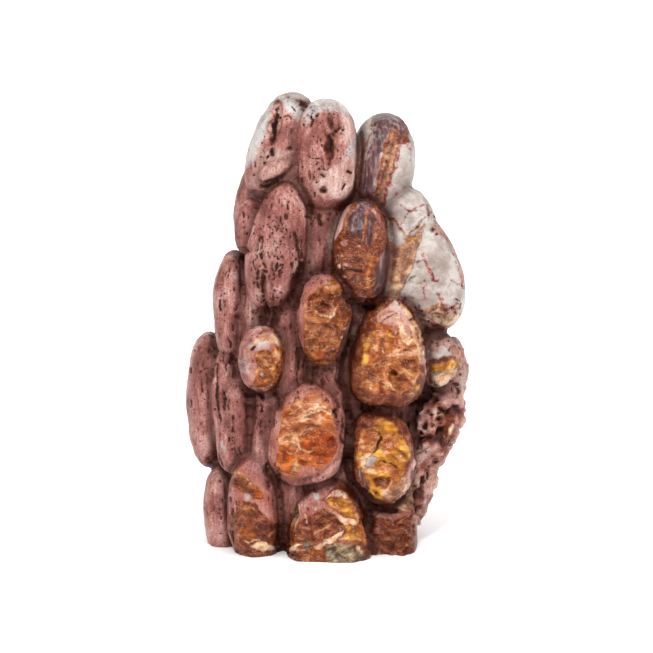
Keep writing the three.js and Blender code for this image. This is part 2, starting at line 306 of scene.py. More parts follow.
      (163, 284), (163, 274), (170, 271), (181, 273)])),
    # lobe left of it
    ("footLobe", ("amber", 0.5, 0.4, [(132, 249.7), (128, 250), (116, 243), (115, 237), (119, 235.5),
      (122.5, 237.5), (132.3, 247)]), ("orange", -0.3, 0.3, [(126.5, 244), (132.3, 247.5), (131.7, 249.3),
      (129, 249.3)]), ("jasper", 1.6, 0.2, [(116.5, 239.3), (118.5, 238), (121, 239.3), (121.3, 241.7),
      (119.5, 243.3), (117, 242.3)]), ("white", -0.3, 0.3, [(122.5, 247.3), (124, 246.8), (125.7, 248),
      (125.3, 249.5), (123, 249.7)]), ("blush", -0.1, 0.2, [(113.5, 246.7), (117, 246.3), (117.5, 248.3),
      (114, 248.7)]), ("jasper", 0, 0.5, [(143, 282), (115, 282), (117, 268), (113, 259), (119, 255),
      (118.5, 249.5), (128, 251), (133, 259), (139, 262), (143, 272)]), ("amber", 0.2, 0.4, [(121.5, 251.5),
      (124.5, 251.3), (127.5, 254), (128, 258), (125.5, 258.5), (122, 255)]),
     ("amber", 0.2, 0.4, [(130, 268.5), (124, 269.5), (120, 268), (120, 263), (125, 261.7), (130, 263.5)]),
     ("cream", 0.3, 0.2, [(139.7, 274), (132, 276), (125, 273.3), (131, 270.7)])),
    # red foot
    ("footRed", ("jasper", 0, 1.1, [(184, 256), (206, 256), (206, 281), (184, 281)]),
     ("pink", -0.3, 0.5, [(205.5, 260), (192, 260), (186, 256), (184, 249), (190, 256), (194, 257.5),
      (205, 256)]), ("jasper", 0, 0.8, [(209, 285), (182, 285), (182, 255), (206, 254)]),
     ("blush", -0.2, 0.2, [(184, 254), (196, 257), (205, 254), (205, 257), (196, 260), (186, 258)])),
    ("", ("tan", 0, 0.5, [(200, 257), (190, 246), (197, 243), (203, 237), (206, 241), (205, 255)])),
    ("footRed", ("cream", -0.1, 0.4, [(191.5, 278.5), (188, 281), (184, 280), (184, 275.5), (187, 277.5),
      (190, 276)])),
    ("", ("tan", 0.2, 0.9, [(195, 249), (199, 245), (205, 247), (205.5, 254), (201, 254.5)])),
]
# Marks: what fills them ("" for relief alone), mm deep (below 0 stands proud), then each as a line of
# across, down and half width. Later marks lie over earlier ones.
frontMarks = [
    # crown, left lobe
    ("porous", 3, [(139.5, 51.5, 1.9), (138, 60, 3), (136.3, 63, 3.2), (137, 66, 2.8), (135.5, 72, 1.3)]),
    ("hole", 1.6, [(139.5, 53, 1.1), (138.5, 58, 1.8), (137, 62, 2.2), (137.5, 67, 1.8), (136, 71.5, 1)]),
    ("", 0.9, [(119.5, 106, 0.6), (122, 99.5, 0.8), (127, 96, 0.8), (131.5, 97, 0.7)]),
    ("hole", 1.5, [(136, 75, 1.3), (136, 78, 1.5)]), ("hole", 1, [(148.5, 50.3, 0.9), (153, 53, 1.2)]),
    ("hole", 0.6, [(146, 53.5, 0.5), (147.5, 55, 0.5)]), ("orange", 0.2, [(143, 47, 0.8)]),
    ("hole", 0.5, [(142.5, 58.5, 0.4), (144.5, 57.5, 0.4), (145.5, 59.5, 0.4)]),
    ("hole", 0.8, [(146, 65, 0.5), (146, 67, 0.5)], [(127.5, 81, 0.5), (127.5, 84, 0.5)]),
    ("", 1.2, [(152, 62, 0.8), (149, 72, 1), (147, 85, 0.8)]),
    ("blush", -0.6, [(127.5, 91.5, 0.4), (129.5, 87.5, 0.5), (134, 82.7, 0.6), (143, 77.3, 0.5),
     (146, 77, 0.3)]),
    # the dark line under the crescent is carved, and its dark colour is painted shadow
    ("hole", 2.5, [(130, 93.3, 0.6), (134, 92.5, 1.2), (143, 87.5, 0.5)]),
    ("hole", 0.6, [(131, 92, 0.5), (134, 95, 0.4)]),
    ("pitted", 0, [(130.7, 78, 3), (135.5, 76, 3)], [(145.6, 49.6, 2.5), (155.7, 54.4, 2.5)]),
    # crown, middle lobe
    ("pitted", 0, [(155.7, 78.2, 2), (161.7, 87.7, 2)], [(167.6, 60.4, 2.5), (171, 66.3, 2.5)],
     [(154.5, 58, 2)]),
    ("hole", 1.2, [(158, 57.5, 1.3)]), ("hole", 0.8, [(156, 60, 0.6), (155.5, 63, 0.5)]),
    ("porous", 2.6, [(165, 58, 1), (165.5, 66, 3.2), (165, 74, 3.1), (164.5, 83, 1.3)]),
    ("hole", 2, [(165, 66.5, 1), (165.3, 72, 2.2), (165, 76, 1)]),
    ("hole", 0.8, [(165, 60.5, 0.6), (165.7, 64, 0.9)]), ("hole", 1, [(168, 66, 0.8), (170.5, 64, 0.6)]),
    ("hole", 0.6, [(161, 76, 0.35), (160.5, 80, 0.4), (161.5, 84, 0.4), (163, 85, 0.4), (165, 84, 0.4)]),
    ("hole", 0.8, [(161, 87, 0.6), (162.5, 88, 0.5)]),
    ("hole", 0.6, [(154, 77.5, 0.4), (156, 79, 0.45), (159, 79, 0.4)]),
    ("hole", 0.8, [(151.2, 89.5, 0.6), (151.5, 91, 0.6)], [(154.5, 85, 0.4), (155, 90, 0.5)],
     [(174, 85.7, 0.8), (175.5, 86.5, 0.6)]),
    ("hole", 1, [(172.5, 92.5, 0.5), (171, 95, 0.5)]), ("hole", 2.2, [(162.3, 95.3, 1.7)]),
    # crown, banded lobe
    ("amber", 0.1, [(187.3, 57.5, 0.5), (177.4, 99, 0.5)]),
    ("salmon", -0.1, [(182, 76, 0.4), (178.6, 93, 0.3)]),
    ("orange", 0, [(195.3, 65, 0.4), (185.2, 101, 0.35)]),
    ("jasper", 0.1, [(197.4, 69, 0.5), (190.2, 97, 0.4)]),
    ("wine", 0.2, [(200.6, 70, 0.5), (198.6, 80.5, 0.5), (195.8, 88.4, 0.45), (192.2, 103.2, 0.4)]),
    ("amber", 0.2, [(183, 71, 0.5), (177.3, 94, 0.8), (176.5, 103, 0.7)]),
    ("tan", 0, [(193.7, 67, 0.3), (189.8, 79, 0.35), (185.8, 100, 0.3)], [(196.8, 65, 0.25),
     (192.4, 78, 0.3), (188, 102, 0.25)]),
    ("purple", 0, [(197.5, 69, 0.35), (192, 89, 0.4), (189.2, 104, 0.3)]),
    ("pink", 0, [(188.5, 62, 0.2), (181.6, 100, 0.2)]), ("jasper", 0.8, [(202, 70, 1.2)]),
    ("wine", 0.4, [(203, 71, 0.5), (205, 75, 0.5)], [(194, 93, 0.4), (196, 92.5, 0.4)], [(197, 96.5, 0.45),
     (198.5, 96.5, 0.4)], [(200.5, 102, 0.4), (202, 103.5, 0.4)]),
    ("jasper", 0.3, [(196.5, 86, 0.6)]), ("wine", 0.3, [(202.5, 93.5, 0.5)], [(205, 80, 0.5)]),
    ("jasper", 0.3, [(201.5, 85, 0.35)]),
    # shoulder and fold on the right
    ("pitted", 0, [(213.5, 103, 2.5), (220.5, 112, 3), (226.5, 122, 2)], [(206.5, 156, 2.5),
     (230.5, 156, 2.5)]),
    ("wine", 0.5, [(203, 105, 0.4), (213, 105.5, 0.4)]),
    ("amber", 0.5, [(205, 116, 0.4), (208, 114, 0.6), (210, 111, 0.5), (213, 108.5, 0.4)]),
    ("amber", 0.3, [(192.5, 108, 0.5), (197, 109.3, 0.6), (202.6, 117.5, 0.6), (207.3, 118.2, 0.5),
     (212.6, 111.3, 0.4)], [(212.5, 112, 0.4), (206.6, 132.5, 0.4), (198.5, 150, 0.4)]),
    ("amber", 0.2, [(203.3, 121, 0.4), (204, 127, 0.3), (201.5, 134, 0.3)]),
    ("white", -0.2, [(206, 119.5, 0.5), (207.5, 123, 0.5)]), ("white", -0.3, [(209.3, 120.5, 1)]),
    ("gold", 0.2, [(196.3, 128, 0.7), (194.6, 140, 0.6)]),
    ("cream", -0.1, [(199.5, 129, 0.35), (198, 136, 0.35)]),
    ("amber", 0.3, [(199, 149, 0.5), (199.5, 152, 0.5)]),
    ("orange", 0.3, [(200, 150, 0.35), (204, 155, 0.35)]),
    ("wine", 0.4, [(208, 131, 0.5), (212, 129.3, 0.5), (217, 140, 0.7), (219.5, 140.2, 0.5)],
     [(211.3, 127.3, 0.9)]),
    ("wine", 0.2, [(199.5, 113.5, 0.3), (203.5, 107.5, 0.4), (208, 103.5, 0.35), (213.6, 102, 0.3)],
     [(213, 103, 0.3), (215, 107, 0.4), (214, 111, 0.3)], [(219, 106, 0.3), (222, 112, 0.35),
     (227, 116, 0.3)], [(216, 137, 0.35), (212, 144, 0.4), (213, 150, 0.3)], [(203, 148, 0.3),
     (208, 150, 0.35), (212, 149, 0.3)]),
    ("wine", 0.3, [(226, 140, 0.4), (228, 142, 0.4), (231, 142.3, 0.4), (231.5, 144, 0.4)],
     [(226, 126.5, 0.4), (229, 129, 0.4)]),
    ("grey", 0.2, [(205, 139, 0.6), (208, 137.5, 0.5)], [(208, 142, 0.5), (213, 140, 0.6)]),
    ("hole", 0.8, [(228, 149.5, 0.7), (230, 150.3, 0.6)]),
    ("hole", 1, [(228.5, 152, 0.8), (229.5, 154, 0.8), (230.5, 152, 0.6)]),
    ("wine", 0.8, [(219.5, 147, 0.5), (221, 153.5, 0.7), (219, 157, 0.9), (215, 159, 0.6)]),
    ("porous", 0.5, [(204, 160, 0.7), (219, 157, 2.3), (224, 156, 1.6), (229, 153, 0.9)]),
    ("tan", -0.3, [(213.5, 156, 0.5), (217, 154.6, 0.9), (221.5, 156.6, 0.7)]),
    ("grey", 0.3, [(217, 158.4, 1.1), (220, 158, 0.8)]),
    ("hole", 0.9, [(222.6, 155, 0.7), (224.5, 154.5, 0.5)]),
    ("wine", 0.2, [(205, 154, 0.3), (210, 156, 0.4), (214, 154, 0.3)]),
    # small lobes under the crown on the left
    ("hole", 0.8, [(122, 106.5, 0.7), (122, 108.5, 0.7)]),
    ("", 2, [(120, 124.5, 0.8), (124, 125.5, 1.4), (127.5, 123, 1)]),
    ("", -0.5, [(134, 106, 0.4), (131, 112, 0.5), (125.5, 131, 0.4)]),
    # tall lobe
    ("pitted", 0, [(130, 119, 1.2), (129, 130, 3.6), (130, 140, 4.2), (133, 156, 2.5)], [(147.5, 115, 1),
     (147, 128, 2.4), (149.5, 138, 3), (148.5, 152, 2)], [(144, 100, 0.8), (144, 112, 0.8)], [(135, 105, 1),
     (134, 133, 1.2)], [(132, 100, 1.5), (130, 118, 1.2)], [(126, 156, 2), (138, 160, 2)]),
    ("hole", 0.9, [(143.7, 101, 0.5), (143.7, 105, 0.6)]),
    ("hole", 1.2, [(131, 118.5, 0.5), (130.8, 125.5, 0.6)], [(126.5, 130, 0.6), (127, 133, 0.6)]),
    ("hole", 1, [(132, 131, 0.6), (133, 134, 0.6)]), ("hole", 0.8, [(134, 126, 0.5), (135, 129, 0.5)]),
    ("hole", 1, [(129.5, 135, 0.6), (129.5, 139, 0.6)], [(136, 132, 0.5), (137, 139, 0.6)]),
    ("hole", 1.4, [(131, 126.5, 1), (131, 128.5, 1)]),
    ("hole", 1.5, [(148, 115, 0.4), (151, 136, 0.8), (150.5, 146, 0.6)]),
    ("hole", 2, [(206, 202, 1), (213, 199, 1)]), ("hole", 3, [(209, 222, 1.4), (215, 218.5, 1.2)]),
    ("hole", 1.6, [(219, 206.5, 0.9), (226, 204, 0.8)]),
    ("hole", 1.8, [(227, 192, 0.9), (229, 195, 1.3), (228, 198, 0.8)]),
    ("hole", 1, [(232, 176, 0.5), (231.5, 184, 0.7)]),
    ("pitted", 0, [(230, 172, 2), (233, 184, 2), (232, 194, 2)]),
    ("hole", 3, [(132, 136, 0.6), (131.5, 145, 1), (133.5, 158, 0.8)]),
    ("hole", 0.6, [(136, 142, 0.4), (136, 145, 0.5)], [(136.3, 147, 0.5), (136.5, 152, 0.5)]),
    ("hole", 1.6, [(147.5, 116, 0.6), (148.5, 125, 0.6)]), ("hole", 1.8, [(151, 120, 0.7), (151, 129, 0.7)]),
    ("pitted", 0, [(139, 112, 4), (138, 134, 5)], [(131, 128, 3), (133, 148, 5), (146, 152, 4)],
     [(146, 118, 2.5), (148, 136, 3), (147, 150, 2)], [(113, 196, 2.5), (115, 214, 3), (117, 228, 2)],
     [(124, 204, 2.5), (131, 212, 3)], [(226, 170, 2.5), (231, 182, 3), (229, 194, 2.5)], [(219, 112, 2),
     (228, 128, 1.5), (232, 142, 1.5)]),
    ("hole", 2.4, [(151.2, 132, 0.9), (151, 140.5, 0.9)]),
    ("hole", 1.2, [(148.5, 136, 1), (148.7, 143, 0.9)]), ("hole", 1, [(146.3, 137, 0.5), (147, 141, 0.5)]),
    ("hole", 1.8, [(148, 146, 1), (148.5, 153, 1.1)]),
    ("hole", 1.6, [(137.7, 157, 0.9), (137.7, 160.5, 0.9)]),
    ("", 2, [(136, 155, 0.8), (142, 156, 1.2), (147, 154, 0.8)]),
    # drape between the tall lobe and the banded one
    ("hole", 1.6, [(155.2, 103, 0.8), (156, 106.5, 0.9)]),
    ("hole", 2, [(159.5, 108, 1.1), (160.5, 112.5, 1.1)]),
    ("hole", 0.8, [(162.3, 131, 0.4), (162.8, 136, 0.5)]),
    ("", 0.6, [(158, 116, 0.5), (158, 136, 0.6)], [(163, 118, 0.5), (163, 136, 0.6)]),
    ("", -0.5, [(165.5, 112, 0.4), (165.5, 126, 0.6)]), ("", -0.4, [(160.5, 118, 0.5), (160.5, 136, 0.6)]),
    ("", 0.6, [(153.5, 114, 0.5), (154, 140, 0.6)]),
    # banded lobe
    ("amber", 0.2, [(176, 103, 0.5), (173, 109, 0.6), (171, 117, 0.5)]),
    ("salmon", 0.2, [(183.8, 104, 0.5), (181.3, 120, 0.5)]),
    ("pink", -0.1, [(186, 104.5, 0.7), (189.3, 108, 0.9), (191.5, 114, 0.9)]),
    ("jasper", 0.2, [(191, 117.5, 1.6)]),
    ("pink", -0.5, [(172, 121.5, 1.3)], [(172, 132, 0.8), (177, 133.5, 0.7)]),
    ("pink", -0.4, [(174.5, 127.5, 0.5), (176.5, 129, 0.5)]), ("cream", -0.3, [(171, 128, 0.8)]),
    ("salmon", -0.2, [(183.3, 144, 0.4), (184.6, 134, 0.5), (187.5, 126, 0.3)]),
    ("cream", -0.3, [(169.5, 133, 0.9)], [(172, 138, 0.9)]), ("cream", -0.2, [(179.5, 123, 0.6)]),
    ("hole", 1.4, [(168.8, 128.3, 0.9), (168.8, 130, 0.9)]),
    ("hole", 1.2, [(173, 134.7, 0.6), (180.5, 136, 0.8)]),
    ("grey", 0.4, [(179, 139, 0.9)], [(170, 137, 0.8)]),
    ("hole", 0.8, [(194.7, 121, 0.4), (194.7, 128, 0.5), (193.5, 136, 0.5)]),
    ("hole", 1.6, [(172, 147.5, 1.3)]), ("hole", 3.5, [(184.5, 151.5, 2), (185.5, 153, 1.8)]),
    # lobes at the left edge
    ("pitted", 0, [(110, 142, 1.2), (112, 156, 1.2)], [(117.5, 142, 0.6), (119, 160, 0.6)]),
    ("hole", 1, [(110.3, 149, 0.6), (110, 155, 0.7)]),
    ("hole", 0.8, [(112.2, 150, 0.4), (112.3, 154, 0.4)], [(114.3, 169, 0.5), (115.3, 173.5, 0.6)]),
    ("hole", 1.4, [(115.5, 177, 0.5), (116.5, 180.5, 1.1)]), ("", 1, [(110.6, 138, 0.5), (110.5, 160, 0.7)]),
    ("", 0.8, [(121, 128, 0.6), (122, 165, 0.8)]), ("", -0.4, [(118, 139, 1.6), (118, 156, 1.6)]),
    ("white", -0.1, [(116.8, 138.7, 0.3), (119.3, 138.9, 0.35)]),
    ("", 2.4, [(110, 180, 0.6), (118, 181, 1)]), ("hole", 0.9, [(96.6, 173.5, 0.5), (97.5, 174.8, 0.5)]),
    ("hole", 1.2, [(104.5, 174.8, 0.9), (104.8, 176, 0.8)]),
    ("hole", 1, [(95.5, 184, 0.5), (95.5, 186.5, 0.5)]),
    ("hole", 0.9, [(103.5, 187, 0.35), (104.3, 204, 0.4)]),
    ("hole", 0.6, [(101, 190, 0.4), (101, 196, 0.45)]), ("hole", 0.8, [(95.5, 200, 0.5), (95.5, 203, 0.5)]),
    ("", 0.7, [(102.5, 217, 0.3), (107.5, 223, 0.4)]),
    ("hole", 1.6, [(108.5, 182, 0.5), (108.7, 197, 0.8), (110, 211, 0.5)]),
    ("hole", 1.2, [(113.5, 182, 0.6), (113.3, 185, 0.5)]),
    ("hole", 0.8, [(117, 187, 0.4), (117.5, 189, 0.4)]),
    ("hole", 1.8, [(112, 196, 0.8), (112.3, 204.5, 0.7)]),
    ("", 0.8, [(112, 182, 0.4), (112.3, 194, 0.5)], [(115.5, 184, 0.4), (115, 192, 0.4)]),
    ("hole", 0.8, [(114.5, 200, 0.4), (113.8, 203, 0.5)], [(116.5, 208, 0.4), (116.7, 215, 0.45)]),
    ("hole", 1, [(117.5, 224, 0.5), (118.5, 228, 0.6)], [(119.5, 224, 0.5), (120.5, 228, 0.6)],
     [(109.5, 227, 0.4), (111.5, 234, 0.5)]),
    ("white", -0.2, [(110.8, 221, 0.6), (112.5, 226, 0.8)]),
    ("hole", 3, [(124.5, 196.8, 1.3), (127, 196, 1.5), (130, 197.3, 1.5), (131, 199.3, 1)]),
    ("hole", 2.6, [(137.7, 196.5, 1.2), (139, 200, 1.4), (138.8, 205, 1)]),
    ("hole", 1.6, [(135, 210, 0.6), (135, 213, 0.7)]),
    ("pitted", 0, [(129, 203, 2.5), (131, 212, 3), (132, 222, 2.5)]),
    # ovals in the middle row
    ("pitted", 0, [(155.5, 185.5, 2.5), (167.5, 188.5, 2.5)], [(149, 173.5, 1), (149.5, 183.5, 1)],
     [(167.5, 200.5, 1.5), (171.5, 215.5, 2)]),
    ("salmon", -0.5, [(154, 149, 0.4), (158, 143.6, 0.5), (162, 142.9, 0.6), (165.5, 145, 0.6),
     (167.3, 148, 0.6), (167.2, 151, 0.5)], [(156.5, 148.5, 0.5), (159, 150.3, 0.7), (161.5, 149.8, 0.6)]),
    ("cream", -0.6, [(157.5, 155.5, 0.4), (159, 157.2, 0.5), (165.3, 158.5, 0.5), (168, 154, 0.5)]),
    # this white spot is a painted highlight
    ("white", -0.3, [(167.5, 155.5, 0.5)]),
    ("salmon", -0.5, [(154.3, 160, 0.4), (158, 160.8, 0.5), (164, 160.6, 0.4)]),
    ("salmon", -0.4, [(166.5, 161, 0.4), (167.8, 166, 0.4), (166.8, 171, 0.35)], [(153.3, 150, 0.35),
     (152.6, 167, 0.35), (154.3, 174, 0.35)]),
    ("salmon", -0.3, [(168.8, 152, 0.35), (170.3, 160, 0.35), (169.7, 168, 0.35)]),
    ("jasper", 0.7, [(153, 157, 0.5), (157, 158.5, 0.4)]),
    ("jasper", 0.8, [(155, 161.5, 0.6), (158, 163, 0.8), (160.5, 163, 0.5)], [(155, 164.5, 0.5),
     (161, 167, 0.5)]),
    ("salmon", -0.7, [(154.5, 167, 0.6), (160, 169.5, 0.7), (164, 170, 0.5)]),
    ("cream", -0.2, [(165, 162, 0.35), (166.7, 163.7, 0.35)]),
    ("white", -0.3, [(163.5, 173.5, 0.6)], [(166.7, 174.2, 0.8)]),
    ("cream", -0.2, [(171, 165, 0.35), (173, 164, 0.4), (174, 166, 0.4), (173, 168.5, 0.4),
     (171, 169, 0.4)]),
    ("hole", 1, [(156, 184, 0.6), (159, 183.6, 0.6)]), ("hole", 4, [(172, 146, 0.8), (175, 153, 0.8)]),
    ("hole", 6, [(175, 163, 0.8), (172.5, 173, 2), (169.5, 189, 1.6), (171, 194, 1.4)]),
    ("purple", -0.3, [(182, 158, 0.6), (175, 175, 0.5)]),
    ("hole", 3.2, [(149.7, 175, 0.9), (149.2, 184, 1.1)]),
    ("hole", 1.2, [(148.5, 185, 0.5), (148.5, 191, 0.6)]),
    ("hole", 0.8, [(148, 164.3, 0.6), (148, 166, 0.6)]),
    ("", 0.6, [(141.5, 160, 0.4), (144, 175, 0.5), (144.5, 196, 0.5)], [(146.3, 158, 0.4), (147, 196, 0.5)]),
    ("hole", 1.2, [(156.3, 190.5, 0.7), (156.2, 192, 0.7)], [(160.6, 190, 0.6), (160.8, 192.3, 0.6)]),
    ("hole", 0.8, [(163, 188, 0.5), (164, 191, 0.5)]),
    ("amber", 0.7, [(129.5, 166.8, 0.5), (131.5, 165.2, 0.8), (135.5, 165, 0.5)], [(136.7, 165.7, 0.5),
     (140, 166.2, 0.6)]),
    ("hole", 1.4, [(125.9, 175, 0.7), (127.5, 173.5, 0.7)]), ("gold", -0.1, [(124, 176.2, 0.9)]),
    ("amber", 0.6, [(130, 177.5, 0.4), (133, 176.6, 0.5), (134.3, 178.5, 0.4)], [(129.5, 181, 0.5),
     (133, 181.5, 0.6)]),
    ("gold", -0.2, [(136.5, 182, 0.6), (137, 185.5, 0.6)]),
    ("pink", -0.9, [(121.5, 183, 1.8)], [(126.5, 184, 1.8)]), ("orange", -0.2, [(131.5, 191.5, 1.1)]),
    ("white", -0.3, [(134.7, 180, 0.6)]), ("white", -0.2, [(135.5, 192.5, 0.9)]),
    # big oval on the right
    ("jasper", 0.3, [(190.5, 162, 0.3), (193, 158.8, 0.35), (198.5, 156.6, 0.25)]),
    ("white", -0.3, [(198.2, 165, 0.5), (197.5, 167, 0.8)]),
    ("white", -0.1, [(197.5, 150.5, 0.9), (198.5, 153, 1.1)]), ("jasper", 0.4, [(200.4, 163, 0.5)]),
    # the white spot at (185.4, 170.7) is a painted highlight
    ("jasper", 0.3, [(199.8, 164.6, 0.4)]), ("white", -0.3, [(185.4, 170.7, 0.7)]),
    ("salmon", -0.3, [(190, 158, 0.35), (193.5, 156, 0.35), (196.5, 155.5, 0.3)]),
    ("blush", -0.4, [(209.6, 163, 0.4), (213.2, 178, 0.45), (213.3, 187, 0.4)]),
    ("jasper", 0.3, [(208, 164, 0.35), (211.5, 179, 0.4), (211.3, 188, 0.4)]),
    ("cream", -0.3, [(182.5, 178.3, 0.7)]), ("hole", 0.5, [(202, 175.4, 0.35), (205.5, 175.6, 0.35)]),
    ("white", -0.2, [(211.3, 178, 0.7), (212, 182, 0.6)]),
    ("salmon", -0.5, [(200, 183, 0.4), (206, 188, 0.4)]),
    ("salmon", -0.4, [(205.5, 184, 0.35), (208.5, 181.5, 0.35)], [(194, 179.5, 0.5), (194, 184, 0.6),
     (195, 187, 0.4)]),
    ("hole", 2.2, [(195.9, 186.8, 0.8), (198, 187.3, 0.8)]),
    ("amber", 0.9, [(188, 182, 0.7), (191, 197, 0.8)]), ("grey", 0.1, [(188.5, 183, 0.8)]),
    ("grey", 0.2, [(187, 178.5, 0.8)]),
    # the cream spot at (185, 194.2) is a painted highlight
    ("cream", -0.2, [(185, 194.2, 0.6)], [(203.5, 177, 0.6), (201.5, 177.6, 0.5)]),
    # the purple line from (181, 196) to (185, 199.5) is a painted highlight on glossy stone
    ("purple", -0.2, [(181, 196, 0.4), (185, 199.5, 0.4)]), ("jasper", 0, [(182.5, 184, 1.4)]),
    ("gold", 0, [(207.5, 192.5, 0.8), (209, 195, 0.8)]),
    ("gold", 0.1, [(195.5, 186.5, 0.6), (197, 190, 0.6)]),
    ("cream", -0.3, [(194, 191, 0.3), (197, 195, 0.3), (201, 197.3, 0.3), (206, 196.5, 0.25)]),
    ("amber", 0.4, [(197, 192, 0.4), (199, 196, 0.5), (203, 198, 0.4)]),
    ("hole", 5, [(204, 203, 0.8), (208, 201.5, 1.4), (214, 196, 0.9)]),
    ("hole", 3, [(182, 203.5, 0.9), (190, 204, 0.9)]),
    # right edge
    ("jasper", 0.5, [(219, 173, 0.7)]), ("jasper", 0.3, [(226, 173.5, 0.6)]),
    ("gold", -0.3, [(229.3, 174, 0.4), (230, 178, 0.7), (228.5, 182, 0.7), (226, 184, 0.5)]),
    ("gold", 0.1, [(220.5, 185.9, 0.35), (224, 186.7, 0.4), (227, 184.3, 0.4)]),
    ("amber", 0.5, [(213.7, 182, 1), (215.5, 191, 1)]),
    ("hole", 1.2, [(229.5, 187, 0.5), (231, 187.7, 0.8)]), ("hole", 0.9, [(231, 176, 0.6), (231, 179, 0.7)]),
    ("amber", 0.4, [(220, 195.5, 0.6), (226, 191.7, 0.5)]),
    # porous flank
    ("hole", 7, [(207.5, 220.5, 1.8), (212.5, 218.8, 1.2)]), ("hole", 6, [(208.5, 223.3, 1.6)]),
    ("hole", 2.6, [(219.5, 204.3, 1), (221.5, 205.5, 1.2)]), ("hole", 3, [(219.3, 209.5, 1.6)]),
    ("hole", 2, [(208.5, 206, 1)], [(216.3, 213, 1.1)], [(217.5, 199.5, 0.9)], [(211.5, 238.8, 1.2)]),
    ("hole", 2.4, [(211, 241.5, 1.2), (211.3, 243.5, 1.2)]), ("hole", 2, [(206, 263, 0.9), (206.7, 266, 1)]),
    ("blush", -0.8, [(206.5, 231.5, 0.7), (214, 225, 1), (218, 223.5, 0.7)]),
    ("blush", -0.6, [(212.5, 243, 0.5), (213, 249, 0.7), (212, 255, 0.6)]),
    ("blush", -0.5, [(207, 258, 0.9), (211, 259.5, 0.9)]),
    ("blush", -0.6, [(205, 234, 0.8), (204.3, 240, 1.2), (205, 246, 1)]),
    ("cream", -0.5, [(226.5, 212, 0.6), (224.8, 217, 0.7)]),
    ("pink", -0.9, [(210, 209, 1.2), (213.5, 208, 1.5), (215.5, 212, 1)]),
    ("cream", -0.3, [(197.5, 207.5, 1.1)]),
    # big orange window
    ("cream", -0.6, [(151, 206.3, 0.4), (159, 203.2, 0.7), (163.5, 203.8, 0.5)]),
    ("cream", -0.5, [(152, 208, 0.4), (156, 206, 0.5), (161, 204.8, 0.5), (165, 207, 0.4)]),
    ("white", -0.4, [(158.5, 201, 0.6), (160, 199.7, 0.6)]),
    ("grey", 0.8, [(153, 208.8, 0.4), (159, 206.8, 0.4)]),
    ("cream", -0.4, [(148, 211.2, 0.5), (152, 209.8, 0.5), (156, 209.5, 0.4)], [(151, 216, 0.4),
     (156.5, 213.8, 0.4)]),
    ("amber", 0.7, [(150, 214, 0.4), (155, 212.3, 0.6), (160, 212.5, 0.4)], [(143, 213, 0.5),
     (149, 215.5, 0.4)]),
    ("cream", -0.4, [(148.5, 218.5, 0.5), (149.3, 223, 0.6), (147.5, 226, 0.4)]),
    ("white", -0.2, [(158, 218, 0.5)]),
    ("cream", -0.4, [(144.5, 207, 0.3), (154, 201.8, 0.35), (159, 202, 0.3)], [(143, 211, 0.3),
     (153, 206.4, 0.3)], [(158, 210.5, 0.3), (162, 208.8, 0.35), (165.7, 210.3, 0.3)], [(142, 218, 0.3),
     (146, 216.3, 0.35), (151, 217.5, 0.3)]),
    ("cream", -0.3, [(140.5, 222, 0.25), (144, 220.3, 0.3), (148, 221.5, 0.3)], [(140, 227, 0.25),
     (143, 225.3, 0.3), (145.5, 227, 0.3)]),
    ("amber", 0.4, [(155, 223, 0.5), (160, 222, 0.6), (165, 224, 0.5)]),
    ("amber", 0.8, [(150, 228, 0.4), (156, 227, 0.6), (162, 228.5, 0.5)]),
    ("cream", -0.3, [(150, 224, 0.35), (153.5, 226, 0.4), (157, 225.8, 0.3)]),
    ("cream", -0.2, [(163.5, 226.2, 0.5)]),
    ("amber", 0.6, [(149.5, 231, 0.4), (156, 230.6, 0.5), (162, 231.7, 0.4)]),
    ("salmon", -0.5, [(139.3, 235.5, 0.35), (143, 238, 0.4), (146.5, 239, 0.4), (148.7, 237.5, 0.35),
     (149.3, 234.5, 0.35)]),
    ("amber", 0.5, [(141, 224, 0.5), (143, 228, 0.5), (142, 233, 0.4)], [(144, 219, 0.4), (146, 223, 0.4)]),
    ("hole", 1.4, [(168.7, 201.3, 0.6), (169.3, 203.3, 0.8)]),
    ("hole", 3.6, [(167.6, 205.5, 1.3), (168.5, 212, 0.9)]),
    ("hole", 1, [(171.3, 209, 0.4), (171.3, 214, 0.45)]),
    ("hole", 1.4, [(170.5, 218, 0.5), (171.2, 221, 0.6)]),
    ("hole", 6.5, [(172, 190, 1.2), (174, 200, 1.6), (174.6, 210, 1.8), (174.4, 236, 1.4), (176, 241, 1.4),
     (179, 243.5, 1.4)]),
    ("", 2, [(147, 241.5, 0.8), (155, 240, 1), (161, 237, 0.9), (170, 229, 0.6)]),
    ("hole", 2.4, [(133.8, 232, 0.9), (133.8, 235, 0.9)]),
    ("hole", 1.6, [(133.8, 241, 0.8), (134.5, 243.5, 0.9)]),
    ("hole", 3, [(138.8, 235, 0.7), (141.7, 264, 1.1), (142, 276, 1.2)]),
    ("hole", 1.2, [(156.5, 243.6, 0.6), (156.8, 244.8, 0.6)]),
    ("white", -0.1, [(157, 248, 1.3), (158.8, 249, 1.2)]),
    # yellow window
    ("cream", -0.3, [(197.5, 207.5, 1.1)]),
    ("hole", 1.6, [(189.6, 216, 0.4), (190, 220.5, 0.8), (188.5, 224, 0.7), (186.3, 226, 0.35)]),
    ("grey", 0.3, [(188, 212.3, 0.8)]), ("orange", 0.2, [(189.7, 213.3, 0.7)], [(191.5, 225, 0.8)]),
    ("orange", 0.1, [(183, 216.6, 1)]), ("jasper", 0.5, [(182, 220.5, 0.5), (183.5, 223.5, 0.5)]),
    ("jasper", 0.4, [(185.5, 218.5, 0.4), (185.5, 222, 0.4)]),
    ("amber", 0.5, [(198, 224, 0.6), (204, 228.5, 0.7)]),
    ("cream", -0.4, [(197, 227, 0.35), (201.5, 230.5, 0.3)], [(200, 227.5, 0.3), (203, 230.3, 0.35)]),
